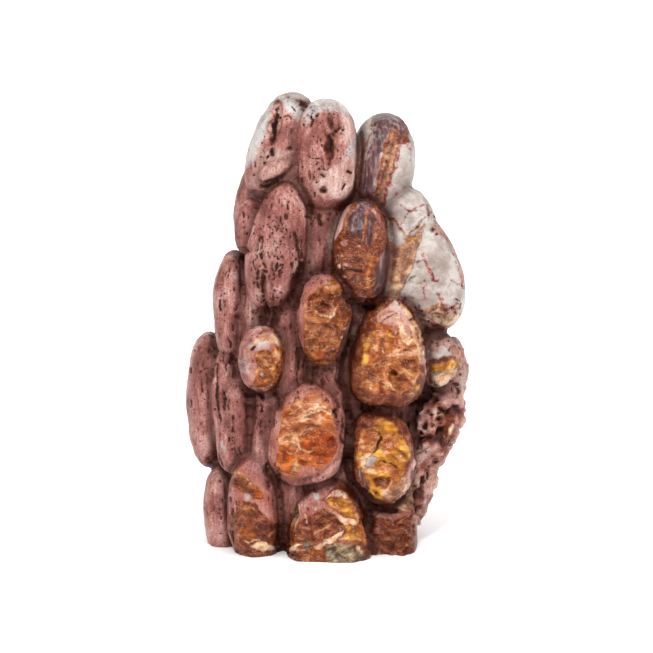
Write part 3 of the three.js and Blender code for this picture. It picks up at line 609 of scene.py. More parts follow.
    ("amber", 0.4, [(196, 218, 0.35), (199, 217.3, 0.4), (201, 219.5, 0.3)]),
    ("hole", 1.2, [(189.5, 231.2, 0.35), (192, 230.7, 0.5), (198.5, 234, 0.4)]),
    ("cream", -0.4, [(183, 235.4, 0.7), (186, 234.9, 0.8), (188.5, 236, 0.6)]),
    ("cream", -0.2, [(191, 246.2, 0.6)], [(194, 245.5, 0.4), (196, 240, 0.4)]),
    ("amber", 0.5, [(183, 239, 0.6), (185, 243, 0.6)]),
    # the dark line under the yellow window's lip is carved, and its dark colour is painted shadow
    ("hole", 4, [(178.5, 243.5, 1.2), (190, 253.5, 1.6), (198, 255.3, 1.2)]),
    ("cream", -0.3, [(195, 250.8, 0.3), (203.5, 255.7, 0.3)]),
    # foot of the stone
    ("cream", -0.5, [(149.4, 251.5, 0.4), (149.6, 258, 0.5), (147, 265.3, 0.4)]),
    ("salmon", -0.4, [(146.2, 252, 0.4), (145.3, 257, 0.5), (145.7, 263, 0.4)]),
    ("salmon", -0.7, [(173.5, 247, 0.7), (182, 267, 0.8), (182.7, 272, 0.7)]),
    ("white", -0.2, [(167.5, 247.3, 0.7), (171, 247.2, 0.7)]),
    ("orange", 0.2, [(167, 252.3, 0.7)], [(170, 254, 0.8)], [(175, 257.3, 0.7)]),
    # this white spot is a painted highlight
    ("white", -0.3, [(176, 263.3, 0.7)]),
    ("cream", -0.3, [(170, 269.6, 0.35), (176, 268.6, 0.4), (181, 270, 0.35)]),
    ("salmon", -0.4, [(158, 266.5, 0.4), (166, 262, 0.4)]), ("cream", -0.2, [(179, 274, 1.1)]),
    ("white", -0.1, [(160.5, 272.3, 0.8), (163.5, 271.3, 0.7)]),
    ("hole", 1.6, [(145, 276.3, 0.8), (148, 277.7, 0.9)]),
    ("white", -0.2, [(178.2, 250, 0.7), (178.6, 252, 0.8)]),
    ("hole", 2.5, [(184, 249, 0.8), (184.3, 275, 0.8)]),
    ("cream", -0.3, [(152, 257, 0.4), (153.5, 261.5, 0.5)]), ("white", -0.2, [(157.5, 254, 0.6)]),
    ("grey", 0.5, [(160, 259.5, 0.8)]),
    ("salmon", -0.4, [(114.7, 237, 0.5), (119, 235.8, 0.6), (121.7, 237.3, 0.6), (123.7, 240, 0.5)]),
    ("white", -0.3, [(125.3, 242, 0.8)]), ("grey", 0.3, [(126.5, 256.5, 1)]),
    ("hole", 1, [(136.5, 262.7, 0.6), (136.7, 264.3, 0.6)]),
    ("cream", -0.4, [(121.5, 269.5, 0.35), (124, 271.5, 0.4), (130, 269.8, 0.35)]),
    ("salmon", -0.4, [(118.7, 267, 0.4), (118.3, 273.5, 0.4)]),
    ("hole", 0.9, [(134.5, 248.5, 0.5), (134.5, 250.3, 0.5)], [(115.2, 249, 0.5), (115.2, 251, 0.5)],
     [(116, 254, 0.5), (116.5, 257, 0.5)]),
    ("hole", 1.6, [(116, 265.5, 1.1), (117, 270.5, 1.1)]), ("", 0.9, [(109.3, 240, 0.4), (111.2, 273, 0.4)]),
    ("", 0.8, [(112.3, 238, 0.4), (114.5, 263, 0.4)]), ("", 0.7, [(106.7, 246, 0.4), (107, 268, 0.4)]),
    ("pink", -0.2, [(189, 265.5, 1.2)]), ("salmon", -0.2, [(197, 259.5, 0.7)]),
    ("amber", 0.3, [(199, 265, 1.1)], [(202, 270, 1.1)]),
]
# Pits drawn one by one, a little deeper than their half width: across, down, half width.
frontPits = [
    (140.3, 59, 0.5), (144.5, 74.3, 1.2), (143.5, 63.5, 0.5), (131, 72, 0.7), (132, 75, 0.7),
    (130.5, 78, 0.6), (132, 81.5, 0.7), (133.5, 79.5, 0.6), (126.5, 87.8, 0.7), (132.5, 98, 1.0),
    (167, 67, 0.9), (164, 68.3, 0.7), (164.5, 79.5, 0.7), (170.5, 72.5, 0.6), (169.3, 75.5, 0.6),
    (170, 79, 0.5), (164.5, 56.5, 0.6), (167, 57, 0.6), (169, 58, 0.6), (150.7, 87, 0.6), (158, 91, 0.7),
    (171, 88, 0.6), (208.8, 113.3, 0.7), (217.3, 108.3, 0.9), (218.5, 111, 0.6), (220.8, 112, 0.9),
    (216.5, 114.8, 1.1), (218.5, 117.3, 0.7), (224, 116.5, 0.8), (227.5, 156.5, 0.6), (207, 159.4, 0.6),
    (210.5, 160, 0.7), (214, 161, 0.7), (226.5, 153.5, 0.5), (216, 163, 0.8), (213, 165, 0.7),
    (122.5, 103, 0.6), (122.7, 113.7, 0.6), (123.3, 116.8, 0.8), (127.5, 112, 0.5), (129, 114, 0.5),
    (127, 117, 0.5), (144, 107.5, 0.5), (144, 111, 0.5), (134.5, 108.5, 0.7), (140.8, 109, 0.6),
    (135, 113.7, 0.6), (136.3, 116.5, 0.6), (133.5, 136, 0.8), (136.7, 140, 0.8), (127, 141, 0.8),
    (150, 112.5, 0.6), (146, 127, 0.6), (148, 130, 0.8), (145.8, 132.5, 0.6), (130.8, 160.7, 0.9),
    (126, 163.3, 0.8), (121, 162.3, 0.5), (123.5, 158.8, 0.5), (153.6, 108.3, 0.7), (165.5, 133.5, 0.6),
    (170.5, 125, 0.6), (176.5, 140.3, 0.9), (175, 144.5, 1.1), (181, 133, 0.7), (172, 142, 0.8),
    (112.5, 147, 0.5), (110.8, 142, 0.6), (112.3, 158, 0.6), (112, 161, 0.6), (112, 176.5, 0.6),
    (100, 174, 0.5), (106.3, 176, 0.6), (104.3, 179, 0.6), (100.5, 185.5, 0.8), (106.5, 185, 0.6),
    (106.5, 187.5, 0.7), (102.5, 184, 0.7), (97.7, 192, 0.5), (107.8, 204.5, 0.8), (102, 208, 0.6),
    (101, 212, 0.6), (103, 217, 0.6), (104.5, 229, 0.8), (123.5, 211.7, 0.8), (116, 218.5, 0.6),
    (114.2, 213.5, 0.7), (120, 208.3, 0.6), (123, 202.5, 0.6), (130.5, 206, 0.8), (131, 211, 1.1),
    (133, 213.5, 0.8), (130.5, 216, 1.0), (128.5, 209, 0.7), (133, 208.5, 0.6), (128.8, 202.5, 0.9),
    (162.5, 184, 0.7), (157.5, 187, 0.7), (148.7, 192.3, 0.8), (149, 199.3, 0.9), (148.5, 172.5, 0.6),
    (148.7, 196.3, 0.6), (152.5, 189.5, 0.6), (160.9, 194, 0.5), (156, 194.6, 0.5), (128.7, 168.2, 0.5),
    (199.6, 173.6, 0.4), (212.5, 171.5, 1.1), (213.7, 172.5, 0.7), (215.7, 171, 0.8), (218.2, 171.3, 0.8),
    (224, 170.2, 0.7), (211, 168, 0.8), (214, 166.8, 0.7), (219.5, 168.5, 0.6), (224.5, 175.3, 0.5),
    (226, 195, 0.9), (228.5, 192, 1.2), (231, 181.7, 0.7), (230.5, 184.3, 0.6), (208, 236, 0.9),
    (207, 243, 1.0), (207.8, 246, 1.0), (209, 247.8, 1.0), (207, 252, 0.9), (210, 254.5, 0.8),
    (214, 233.5, 0.8), (213, 226, 0.7), (215.5, 207, 0.8), (167.5, 192, 0.6), (168.3, 196.5, 0.6),
    (157.5, 245.8, 0.6), (163.8, 244.7, 0.6), (141.5, 246.5, 0.6), (161.5, 241.7, 0.4), (188, 246.3, 0.8),
    (154, 254.5, 0.6), (157, 256.8, 0.6), (162, 255, 0.5), (152.5, 260, 0.6), (121, 243.5, 0.6),
    (110.2, 240.5, 0.7), (106.3, 247, 0.5), (118, 261.3, 0.7), (110.3, 266.5, 0.6), (188.5, 279, 0.7),
]
# The back and the sides, drawn alike but made up: they are not known.
backPatches = [
    ("backCrownLeft", ("blush", 0, 0.2, [(164, 98), (172, 103), (184, 104), (193, 97), (192, 112),
      (180, 120), (168, 113)])),
    ("crownLeft", ("blush", 0, 0.2, [(190, 62), (198, 66), (203, 80), (203, 96), (196, 98), (193, 84),
      (188, 72)])),
    ("bandedCrown", ("purple", 0.1, 0.15, [(132.5, 104), (136, 74), (133, 57), (141, 59), (144, 72),
      (137, 104)]), ("tan", 0, 0.2, [(132.5, 58), (134.5, 74), (133, 90), (131, 104), (127, 104),
      (130.5, 74), (128, 60)])),
    ("backCrownRight", ("tan", 0.1, 0.1, [(137, 130), (140, 106), (136, 99), (138, 92), (144, 88), (150, 92),
      (152, 100), (148, 106), (147, 116), (142, 126)]), ("cream", 0, 0.1, [(146, 110), (145, 119),
      (141, 125), (139, 122), (141, 112)])),
    ("backUpperRight", ("blush", 0, 0.2, [(128, 122), (131, 132), (130, 144), (135, 154), (144, 160),
      (140, 166), (130, 162), (123, 148), (122, 128)])),
    ("backShoulder", ("blush", 0, 0.3, [(105, 128), (108, 142), (107, 158), (113, 168), (108, 176),
      (101, 166), (97, 152), (98, 140)])),
    ("backUpperMiddle", ("jasper", 0.2, 0.5, [(161, 171), (154, 164), (150, 150), (151, 134), (157, 128),
      (166, 131), (174, 126), (181, 132), (183, 146), (179, 160), (172, 168), (168, 163)]),
     ("purple", 0.1, 0.2, [(164, 132), (159, 130), (155, 122), (154, 112), (160, 107), (163, 107),
      (162, 120)]), ("purple", 0.1, 0.2, [(167, 133), (165, 120), (166, 106), (172, 107), (177, 114),
      (177, 126)]), ("salmon", 0.3, 0.5, [(158, 163), (154, 155), (155, 140), (160, 137), (163, 141),
      (160, 149), (163, 158)]), ("orange", 0.3, 0.5, [(177, 134), (179, 143), (175, 153), (170, 151),
      (168, 144), (170, 137)])),
    ("backMidOuter", ("amber", 0.1, 0.4, [(157, 164), (162, 174), (163, 192), (159, 206), (151, 214),
      (146, 211), (139, 213), (135, 206), (138, 199), (132, 192), (133, 178), (136, 168), (144, 164),
      (150, 167)]), ("orange", 0.7, 0.6, [(156, 173), (160, 182), (158, 193), (153, 197), (150, 203),
      (142, 200), (141, 193), (137, 184), (140, 175), (148, 177)]), ("cream", -0.2, 0.3, [(138, 172),
      (144, 168), (152, 170.5), (157, 168), (157, 172), (150, 174.5)]), ("gold", 0.4, 0.5, [(157, 200),
      (154, 209), (147, 209), (144, 203), (151, 199)]), ("grey", 0.4, 0.4, [(140, 209), (136, 205),
      (136, 196), (141, 196), (143, 202)])),
    ("backMidInner", ("amber", 0.3, 0.5, [(186, 172), (192, 183), (193, 198), (189, 205), (190, 212),
      (182, 215), (174, 208), (168, 206), (169, 197), (166, 187), (171, 176), (178, 178)]),
     ("gold", 0.6, 0.6, [(188, 179), (190, 190), (186, 193), (188, 199), (181, 203), (175, 197), (171, 199),
      (169, 188), (174, 180), (181, 183)]), ("salmon", 0.3, 0.5, [(172, 203), (180, 205), (186, 203),
      (186, 210), (179, 212)])),
    ("backLowOuter", ("jasper", 0.1, 0.4, [(142, 219), (149, 223), (157, 219), (165, 230), (166, 246),
      (160, 252), (161, 262), (150, 268), (143, 262), (137, 262), (135, 244), (136, 230)]),
     ("salmon", 0.8, 0.6, [(149, 259), (146, 251), (140, 249), (139, 236), (144, 228), (150, 231),
      (158, 227), (162, 238), (158, 247), (159, 254)]), ("orange", 0.2, 0.5, [(150, 255), (146, 250),
      (145, 243), (151, 237), (158, 240), (156, 249)]), ("white", 0, 0.3, [(152, 222), (148, 226),
      (142, 227), (141, 222), (147, 219)])),
    ("backMidLeft", ("amber", 0.4, 0.5, [(203, 201), (199, 192), (199, 174), (204, 164), (211, 167),
      (215, 178), (213, 190), (206, 194)]), ("salmon", 0.4, 0.5, [(202, 194), (202, 177), (206, 169),
      (211, 175), (210, 184), (205, 188)])),
    ("backFootOuter", ("cream", -0.2, 0.4, [(157, 276), (138, 281), (132, 276), (138, 270), (145, 272),
      (155, 270)]), ("amber", 0.3, 0.5, [(158, 267), (149, 268), (141, 266), (136, 270), (133, 263),
      (140, 257), (148, 260), (156, 258)]), ("gold", 0.3, 0.5, [(154, 264), (149, 266.5), (144, 265.5),
      (143, 262), (149, 261)])),
    ("backFootInner", ("jasper", 0, 0.5, [(158, 296), (158, 278), (166, 271), (174, 275), (186, 271),
      (193, 280), (191, 296)]), ("cream", -0.3, 0.3, [(163, 284), (170, 280.5), (179, 282), (185, 280),
      (184, 285), (174, 286.5)]), ("tan", 0, 0.3, [(161, 296), (162, 290), (171, 288), (180, 290),
      (188, 287), (190, 294)])),
    ("backUpperLeft", ("blush", 0, 0.3, [(190, 97), (198, 104), (203, 116), (198, 120), (190, 113),
      (184, 114), (182, 104)])),
    ("backMidRight", ("blush", 0, 0.3, [(111, 198), (106, 194), (106, 182), (113, 172), (120, 176),
      (118, 188)])),
    ("backLowInner", ("blush", 0, 0.3, [(168, 228), (174, 218), (184, 219), (188, 228), (181, 232)])),
    ("backLowLeft", ("blush", 0, 0.3, [(216, 222), (200, 226), (196, 218), (203, 208), (212, 212)])),
    ("", ("blush", 0, 0.3, [(176, 92), (166, 98), (158, 94), (152, 96), (150, 84), (160, 78), (172, 82)])),
]
backMarks = [
    ("amber", 0.3, [(137, 92, 0.4), (144, 87.5, 0.5), (150.5, 91.5, 0.45), (152.5, 100, 0.4),
     (148.3, 106.5, 0.4), (147.5, 116, 0.45), (142.3, 126.5, 0.5), (137, 131, 0.4)]),
    ("wine", 0.4, [(134, 118, 0.4), (137, 124, 0.5), (141, 127, 0.5), (142, 134, 0.45), (146, 139, 0.4)],
     [(131, 144, 0.4), (135, 147, 0.5), (137, 153, 0.5), (141, 156, 0.4)]),
    ("wine", 0.3, [(113, 134, 0.4), (114, 142, 0.5), (118, 147, 0.5), (117, 155, 0.4), (120, 160, 0.3)]),
    ("tan", 0, [(163, 107, 0.35), (162.5, 117, 0.45), (164, 129, 0.4)], [(169.5, 108, 0.35), (169, 118, 0.4),
     (170, 130, 0.35)], [(138, 58, 0.3), (139.5, 73, 0.35), (137.5, 90, 0.35), (134.5, 104, 0.3)]),
    ("cream", -0.4, [(156, 136, 0.35), (163, 133.5, 0.45), (171, 136, 0.4), (175, 143, 0.35)],
     [(140, 180, 0.35), (145, 176.5, 0.4), (151, 177, 0.4), (155, 181, 0.3)], [(139, 188, 0.3),
     (145, 186, 0.4), (152, 188.5, 0.35)]),
    ("amber", 0.7, [(141, 193, 0.5), (148, 191.5, 0.6), (154, 194, 0.4)]),
    ("cream", -0.4, [(173, 183, 0.35), (178, 178, 0.4), (185, 180, 0.4), (189, 188, 0.35)]),
    ("amber", 0.7, [(174, 190, 0.5), (180, 188, 0.6), (186, 191, 0.4)]),
    ("hole", 1.4, [(179, 190, 0.4), (178, 194, 0.6), (179.5, 197, 0.4)]),
    ("cream", -0.4, [(143, 232, 0.35), (149, 229, 0.4), (155, 232, 0.4)], [(143, 240, 0.3),
     (148, 237.5, 0.35), (155, 238, 0.3)]),
    ("hole", 3, [(164, 176, 0.8), (165, 188, 1.2), (164, 200, 1.2), (165, 212, 1.4)], [(165.5, 228, 0.9),
     (166, 242, 1.3), (165, 256, 1.1)]),
    ("hole", 2.6, [(150, 158, 0.9), (151, 164, 1.2)]),
    ("hole", 2.4, [(194, 196, 0.7), (195, 206, 1.1), (194, 216, 1)]),
    ("hole", 2, [(133, 216, 1.2), (137, 220, 0.9)]), ("hole", 1.8, [(178, 230, 0.5), (178, 250, 0.6)]),
    ("hole", 1.4, [(184, 236, 0.5), (184.5, 246, 0.6)]), ("hole", 1.6, [(117, 186, 0.5), (117, 204, 0.5)]),
    ("hole", 1.8, [(190, 118, 0.5), (191, 138, 0.6)]), ("hole", 1.6, [(178, 86, 0.6), (178, 100, 0.5)]),
    ("hole", 2.2, [(186, 70, 1), (184, 82, 1)]), ("hole", 1.4, [(160, 62, 0.8), (161, 66, 0.9)]),
    ("hole", 1.2, [(206, 226, 0.5), (206.5, 236, 0.6)]),
    ("pitted", 0, [(196, 115, 2), (197, 130, 2.5), (195, 140, 1.5)], [(181, 228, 2.5), (182, 245, 3),
     (181, 260, 2)], [(119, 180, 2), (118, 196, 2.5), (119, 210, 2)], [(206, 218, 2), (207, 234, 2.5),
     (206, 248, 1.5)], [(175, 80, 2), (178, 94, 2.5), (174, 106, 1.5)], [(192, 60, 1.5), (196, 72, 2),
     (198, 86, 1.5)], [(168, 180, 1), (167, 200, 1.5)], [(222, 190, 1.5), (222, 210, 2), (221, 226, 1.5)]),
]
rightPatches = [
    ("backShoulder", ("tan", 0.1, 0.1, [(176, 170), (170, 166), (172, 156), (167, 148), (168, 140),
      (176, 136), (184, 142), (186, 152), (180, 160)])),
    ("whiteRight", ("blush", 0, 0.3, [(166, 148), (168, 160), (166, 172), (158, 178), (152, 178),
      (160, 168)])),
    ("bandedCrown", ("jasper", 0.1, 0.2, [(158, 64), (168, 65), (177, 76), (178, 92), (172, 108), (166, 114),
      (163, 100), (166, 86)]), ("purple", 0.1, 0.15, [(166, 112), (166, 99), (169, 86), (163, 65), (171, 69),
      (174, 80), (174, 94)])),
    ("backMidRight", ("amber", 0.2, 0.5, [(186, 216), (179, 211), (175, 201), (176, 190), (182, 181),
      (189, 183), (194, 194), (193, 207)]), ("gold", 0.4, 0.5, [(184, 186), (189, 190), (190, 199),
      (185, 205), (180, 202), (179, 192)])),
    ("rightEdge", ("blush", 0, 0.3, [(160, 220), (150, 212), (150, 186), (160, 182), (172, 186), (176, 200),
      (172, 216)])),
]
rightMarks = [
    ("wine", 0.4, [(160, 122, 0.4), (163, 130, 0.5), (162, 138, 0.5), (165, 145, 0.4)], [(160, 150, 0.35),
     (163, 155, 0.4), (162, 163, 0.35)]),
    ("amber", 0.3, [(167, 139, 0.4), (176, 135.5, 0.5), (184.5, 141.5, 0.5), (186.7, 152, 0.45),
     (180.7, 160.5, 0.45), (176.5, 170.5, 0.4)]),
    ("tan", 0, [(167, 66, 0.35), (170.5, 78, 0.4), (171, 94, 0.4), (167, 108, 0.35)]),
    ("cream", -0.4, [(178, 190, 0.35), (184, 184.5, 0.4), (190, 188, 0.35)]),
    ("hole", 1.8, [(170, 118, 0.6), (171, 123, 0.9)]),
    ("hole", 2.4, [(172, 180, 1), (173, 190, 1.4), (172, 200, 1)]),
    ("pitted", 0, [(158, 186, 2.5), (162, 200, 3), (160, 214, 2)], [(162, 160, 2), (160, 172, 2)]),
]
leftPatches = [
    ("crownLeft", ("frost", 0, 0.2, [(165, 76), (160, 70), (153, 66), (150, 60), (160, 50), (167, 50),
      (168, 62)]), ("blush", 0, 0.2, [(150, 106), (146, 92), (148, 78), (154, 70), (160, 74), (162, 90),
      (158, 104)])),
    ("leftUpper", ("blush", 0, 0.2, [(156, 156), (151, 150), (152, 140), (158, 136), (164, 140),
      (163, 150)])),
    ("leftLower", ("blush", 0, 0.2, [(143, 206), (140, 196), (147, 186), (156, 184), (157, 192),
      (148, 198)])),
    ("backUpperLeft", ("salmon", 0.5, 0.5, [(138, 142), (133, 130), (134, 116), (140, 109), (147, 113),
      (149, 127), (145, 140)]), ("amber", 0.4, 0.5, [(141, 113), (146, 118), (146, 127), (140, 131),
      (136, 126), (136, 119)])),
]
leftMarks = [
    ("hole", 2, [(149, 198, 0.5), (149, 224, 0.6)]), ("hole", 1.6, [(157, 204, 0.4), (157, 228, 0.4)]),
    ("hole", 1.8, [(158, 150, 0.5), (158, 174, 0.5)]),
    ("hole", 1.6, [(151, 156, 0.5), (151, 166, 0.7)], [(157, 98, 0.5), (157, 116, 0.5)]),
    ("hole", 2.2, [(160, 62, 0.8), (159, 68, 1.4), (160, 74, 0.8)]),
    ("hole", 2.4, [(152, 134, 1), (150, 142, 1.2)], [(155, 250, 1), (154, 260, 1.3), (155, 272, 1)]),
    ("hole", 1.2, [(144, 224, 0.5), (144, 236, 0.7)]),
    ("cream", -0.4, [(134, 117, 0.35), (140, 110, 0.4), (147, 114, 0.35)], [(137, 133, 0.3),
     (142, 131.5, 0.35), (146, 134, 0.3)]),
    ("pitted", 0, [(146, 196, 2), (148, 214, 2.5), (147, 232, 2)], [(161, 144, 2), (162, 162, 2.5),
     (160, 180, 2)], [(154, 92, 2), (158, 106, 2.5), (156, 122, 1.5)], [(164, 64, 1.5), (162, 78, 2)],
     [(142, 226, 1.5), (143, 244, 2)], [(160, 256, 1.5), (161, 276, 2)]),
]
otherSheets = ((180, backPatches, backMarks), (90, rightPatches, rightMarks), (270, leftPatches, leftMarks))
frontMarks += [("hole", 0.2 + 1.1 * half, [(across, down, half)]) for across, down, half in frontPits]


def hashed(cells, seed):  # a fixed value from -1 to 1 for each cell, stirred by large odd numbers
    mixed = cells[:, 0] * 73856093 ^ cells[:, 1] * 19349663 ^ cells[:, 2] * 83492791 ^ seed * 2654435
    mixed = (mixed ^ (mixed >> 13)) * 1274126177 & 0x7FFFFFFF
    mixed = (mixed ^ (mixed >> 15)) * 668265263 & 0x7FFFFFFF
    return ((mixed >> 7) & 0xFFFF) / 32767.5 - 1


def noiseAt(points, size, seed):  # smooth noise of about -1 to 1, one swell every size mm
    spots = points / np.array(size, float)
    cells = np.floor(spots).astype(np.int64)
    part = spots - cells
    ease = part**3 * (part * (part * 6 - 15) + 10)
    total = np.zeros(len(points))
    for corner in itertools.product((0, 1), repeat=3):
        share = np.prod(np.where(corner, ease, 1 - ease), axis=1)
        slopes = [
            hashed(cells + corner, seed * 3 + axis) * (part[:, axis] - corner[axis]) for axis in range(3)
        ]
        total += share * sum(slopes)
    return total * 1.5


def bend(points, size, far, seed):  # moves points by smooth noise of up to far mm
    return points + np.stack([noiseAt(points, size, seed + axis) for axis in range(3)], axis=1) * far


def spotsAt(points, size, seed):  # distance to the nearest of spots scattered one per cell, in cells
    spots = points / np.array(size, float)
    cells = np.floor(spots).astype(np.int64)
    nearest = np.full(len(points), 9.0)
    for step in itertools.product((-1, 0, 1), repeat=3):
        near = cells + step
        offsets = [
            near[:, axis] + 0.5 + 0.45 * hashed(near, seed * 3 + axis) - spots[:, axis] for axis in range(3)
        ]
        nearest = np.minimum(nearest, sum(offset**2 for offset in offsets))
    return np.sqrt(nearest)


def ramp(values, low, high):  # 0 below low, 1 above high, eased between
    share = np.clip((values - low) / (high - low), 0, 1)
    return share * share * (3 - 2 * share)


def lobeDistance(points, lobe):  # distance in mm outside one lobe, and the way out of it
    middle, half, lean, taper, _ = lobe
    turn = math.radians(lean)
    turned = np.array([[math.cos(turn), 0, -math.sin(turn)], [0, 1, 0], [math.sin(turn), 0, math.cos(turn)]])
    local = (points - np.array(middle) - np.array(stoneSettings["centring"])) @ turned.T
    power = stoneSettings["roundness"]
    height = local[:, 2] / half[2]
    width = 1 - taper * np.clip(height, -1.3, 1.3)
    sized = np.stack([local[:, 0] / (half[0] * width), local[:, 1] / (half[1] * width), height], axis=1)
    powers = np.abs(sized) ** (power - 1)
    reach = np.maximum((powers * np.abs(sized)).sum(1), 1e-6) ** (1 / power)
    slope = powers * np.sign(sized) * (reach ** (1 - power))[:, None]
    narrowing = (slope[:, 0] * sized[:, 0] + slope[:, 1] * sized[:, 1]) * taper / width
    rise = (slope[:, 2] + narrowing) / half[2]
    out = np.stack([slope[:, 0] / (half[0] * width), slope[:, 1] / (half[1] * width), rise], axis=1)
    length = np.maximum(np.linalg.norm(out, axis=1), 1e-6)
    return (reach - 1) / length, (out / length[:, None]) @ turned


# The distance to the lobes grown together, the way out, each lobe's own distance, and how deep in a seam.
def grownSurface(points):
    apart = np.empty((len(lobes), len(points)), np.float32)
    ways = np.empty((len(lobes), len(points), 3), np.float32)
    for row, (name, lobe) in enumerate(lobes.items()):
        apart[row], ways[row] = lobeDistance(points, lobe)
        if name in windows:
            right, up, level = windows[name]
            right, up = math.radians(right), math.radians(up)
            flat = math.cos(up)
            facing = np.array([math.sin(right) * flat, -math.cos(right) * flat, math.sin(up)])
            middle = np.array(lobe[0]) + np.array(stoneSettings["centring"])
            above = (points - middle) @ facing - level
            share = 1 / (1 + np.exp(np.clip((apart[row] - above) / stoneSettings["arris"], -40, 40)))
            ways[row] += (facing - ways[row]) * share[:, None]
            apart[row] = np.maximum(apart[row], above)
    seam = stoneSettings["seam"]
    nearest = apart.min(0)
    shares = np.exp(-np.clip((apart - nearest) / seam, 0, 40))
    total = shares.sum(0)
    way = np.einsum("ln,lnk->nk", shares, ways) / total[:, None]
    way /= np.maximum(np.linalg.norm(way, axis=1), 1e-6)[:, None]
    shares = np.exp(-np.clip((apart - nearest) / stoneSettings["stain"], 0, 40))
    shares /= shares.sum(0)
    crevice = 1 - np.linalg.norm(np.einsum("ln,lnk->nk", shares, ways), axis=1)
    return nearest - seam * np.log(total), way, apart, crevice


def shelterAt(points, way):  # 0 in the open, 1 where the stone itself closes round a point
    shelter = np.zeros(len(points))
    for reach, share in stoneSettings["shelter"]:
        shelter += share * (1 - np.clip(grownSurface(points + way * reach)[0] / reach, 0, 1))
    return shelter


def growStone():  # all the lobes as eggs in one mesh, in mm
    form = bmesh.new()
    for middle, half, lean, taper, _ in lobes.values():
        made = bmesh.ops.create_icosphere(form, subdivisions=4, radius=1)
        for vert in made["verts"]:
            size = sum(abs(value) ** stoneSettings["roundness"] for value in vert.co)
            vert.co /= size ** (1 / stoneSettings["roundness"])
            vert.co.xy *= 1 - taper * vert.co.z
        place = Matrix.Translation(Vector(middle) + Vector(stoneSettings["centring"]))
        place @= Matrix.Rotation(math.radians(lean), 4, "Y") @ Matrix.Diagonal((*half, 1))
        bmesh.ops.transform(form, matrix=place, verts=made["verts"])
    mesh = bpy.data.meshes.new("onyx")
    form.to_mesh(mesh)
    form.free()
    stone = bpy.data.objects.new("onyxStone", mesh)
    bpy.context.scene.collection.objects.link(stone)
    return stone


def applyModifier(piece, kind, **settings):
    modifier = piece.modifiers.new(kind.lower(), kind)
    for name, value in settings.items():
        setattr(modifier, name, value)
    depsgraph = bpy.context.evaluated_depsgraph_get()
    mesh = bpy.data.meshes.new_from_object(piece.evaluated_get(depsgraph))
    piece.modifiers.remove(modifier)
    old = piece.data
    piece.data = mesh
    bpy.data.meshes.remove(old)


def dropCrumbs(piece):  # deletes what carving left loose, so that one shell stays
    form = bmesh.new()
    form.from_mesh(piece.data)
    loose = set(form.verts)
    shells = []
    while loose:
        shell = [loose.pop()]
        for vert in shell:
            touching = {edge.other_vert(vert) for edge in vert.link_edges} & loose
            loose -= touching
            shell += touching
        shells.append(shell)
    shells.sort(key=len)
    for shell in shells[:-1]:
        bmesh.ops.delete(form, geom=shell, context="VERTS")
    form.to_mesh(piece.data)
    form.free()


def readPoints(mesh, name="position"):
    values = np.empty(len(mesh.vertices) * 3, np.float32)
    mesh.attributes[name].data.foreach_get("vector", values)
    return values.reshape(-1, 3).astype(float)


def writeValues(mesh, name, values):
    flat = np.ascontiguousarray(values, np.float32)
    kind, key = ("FLOAT", "value") if flat.ndim == 1 else ("FLOAT_VECTOR", "vector")
    attribute = mesh.attributes.new(name, kind, "POINT")
    attribute.data.foreach_set(key, flat.ravel())


# ---- where each finish lies, and how deep or proud: worked out at each vertex
# Finishes in the order that they cover each other. Pink is what no other covers.
finishOrder = (
    "frost", "blush", "porous", "white", "jasper", "amber", "orange", "gold", "salmon", "tan", "purple",
    "wine", "cream", "grey", "hole",
)
warmFinishes = ("jasper", "amber", "orange", "gold", "salmon")  # these stain the crust round them
glassyFinishes = ("orange", "gold", "salmon")  # brown glassy stone lies under these
sheetSettings = {
    "size": 326.5,  # mm across the camera's view, at the point that it looks at
    "cell": 2,  # mm, side of the cells that keep what is nearest to the viewer
    "cells": 200,  # a side, past the sheet's edge
    "turned": 0.04,  # share of the skin's way out that has to point at the viewer
    "behind": 9,  # mm behind the nearest point that still counts as seen
    "wobbles": ((5, 0.8), (2.2, 0.45), (1.1, 0.25)),  # mm between bends, mm of them: no line runs straight
    "margin": 7,  # mm round a patch that it reaches
    "sink": (-0.5, 1.3),  # mm inside a patch between which its sinking grows
    "swell": (0, 2),  # the same for its relief
    "soft": (-0.5, 1),  # the same for what else it changes
    "stain": 6,  # mm that polished stone stains the crust round it
    "broad": 0.85,  # mm of half width past which a hole is brown and rough round a black core
    "core": ((1.6, 1.6, 2.2), 0.5),  # how its edge breaks up: mm between bends, mm of them
}


def onSheet(points, azimuth):  # mm across and down a sheet held up to a viewer at that angle, and mm away
    right, up, forward = lookFrom(azimuth)
    offset = points - np.array(cameraSettings["target"])
    away = offset @ forward + cameraSettings["distance"]
    spread = cameraSettings["distance"] / away
    middle = sheetSettings["size"] / 2
    return middle + offset @ right * spread, middle - offset @ up * spread, away


def seenFrom(points, way, azimuth, across, down, away):  # which points a viewer at that angle sees
    columns = (across / sheetSettings["cell"]).astype(int)
    rows = (down / sheetSettings["cell"]).astype(int)
    nearest = np.full((sheetSettings["cells"], sheetSettings["cells"]), 1e9)
    facing = way @ lookFrom(azimuth)[2] < -sheetSettings["turned"]
    np.minimum.at(nearest, (rows[facing], columns[facing]), away[facing])
    return facing & (away < nearest[rows, columns] + sheetSettings["behind"])


def offPiece(x0, y0, x1, y1, across, down):  # share of the way along a straight piece, and mm away from it
    length = (x1 - x0) ** 2 + (y1 - y0) ** 2
    along = np.clip(((across - x0) * (x1 - x0) + (down - y0) * (y1 - y0)) / length, 0, 1) if length else 0
    return along, np.hypot(across - x0 - along * (x1 - x0), down - y0 - along * (y1 - y0))


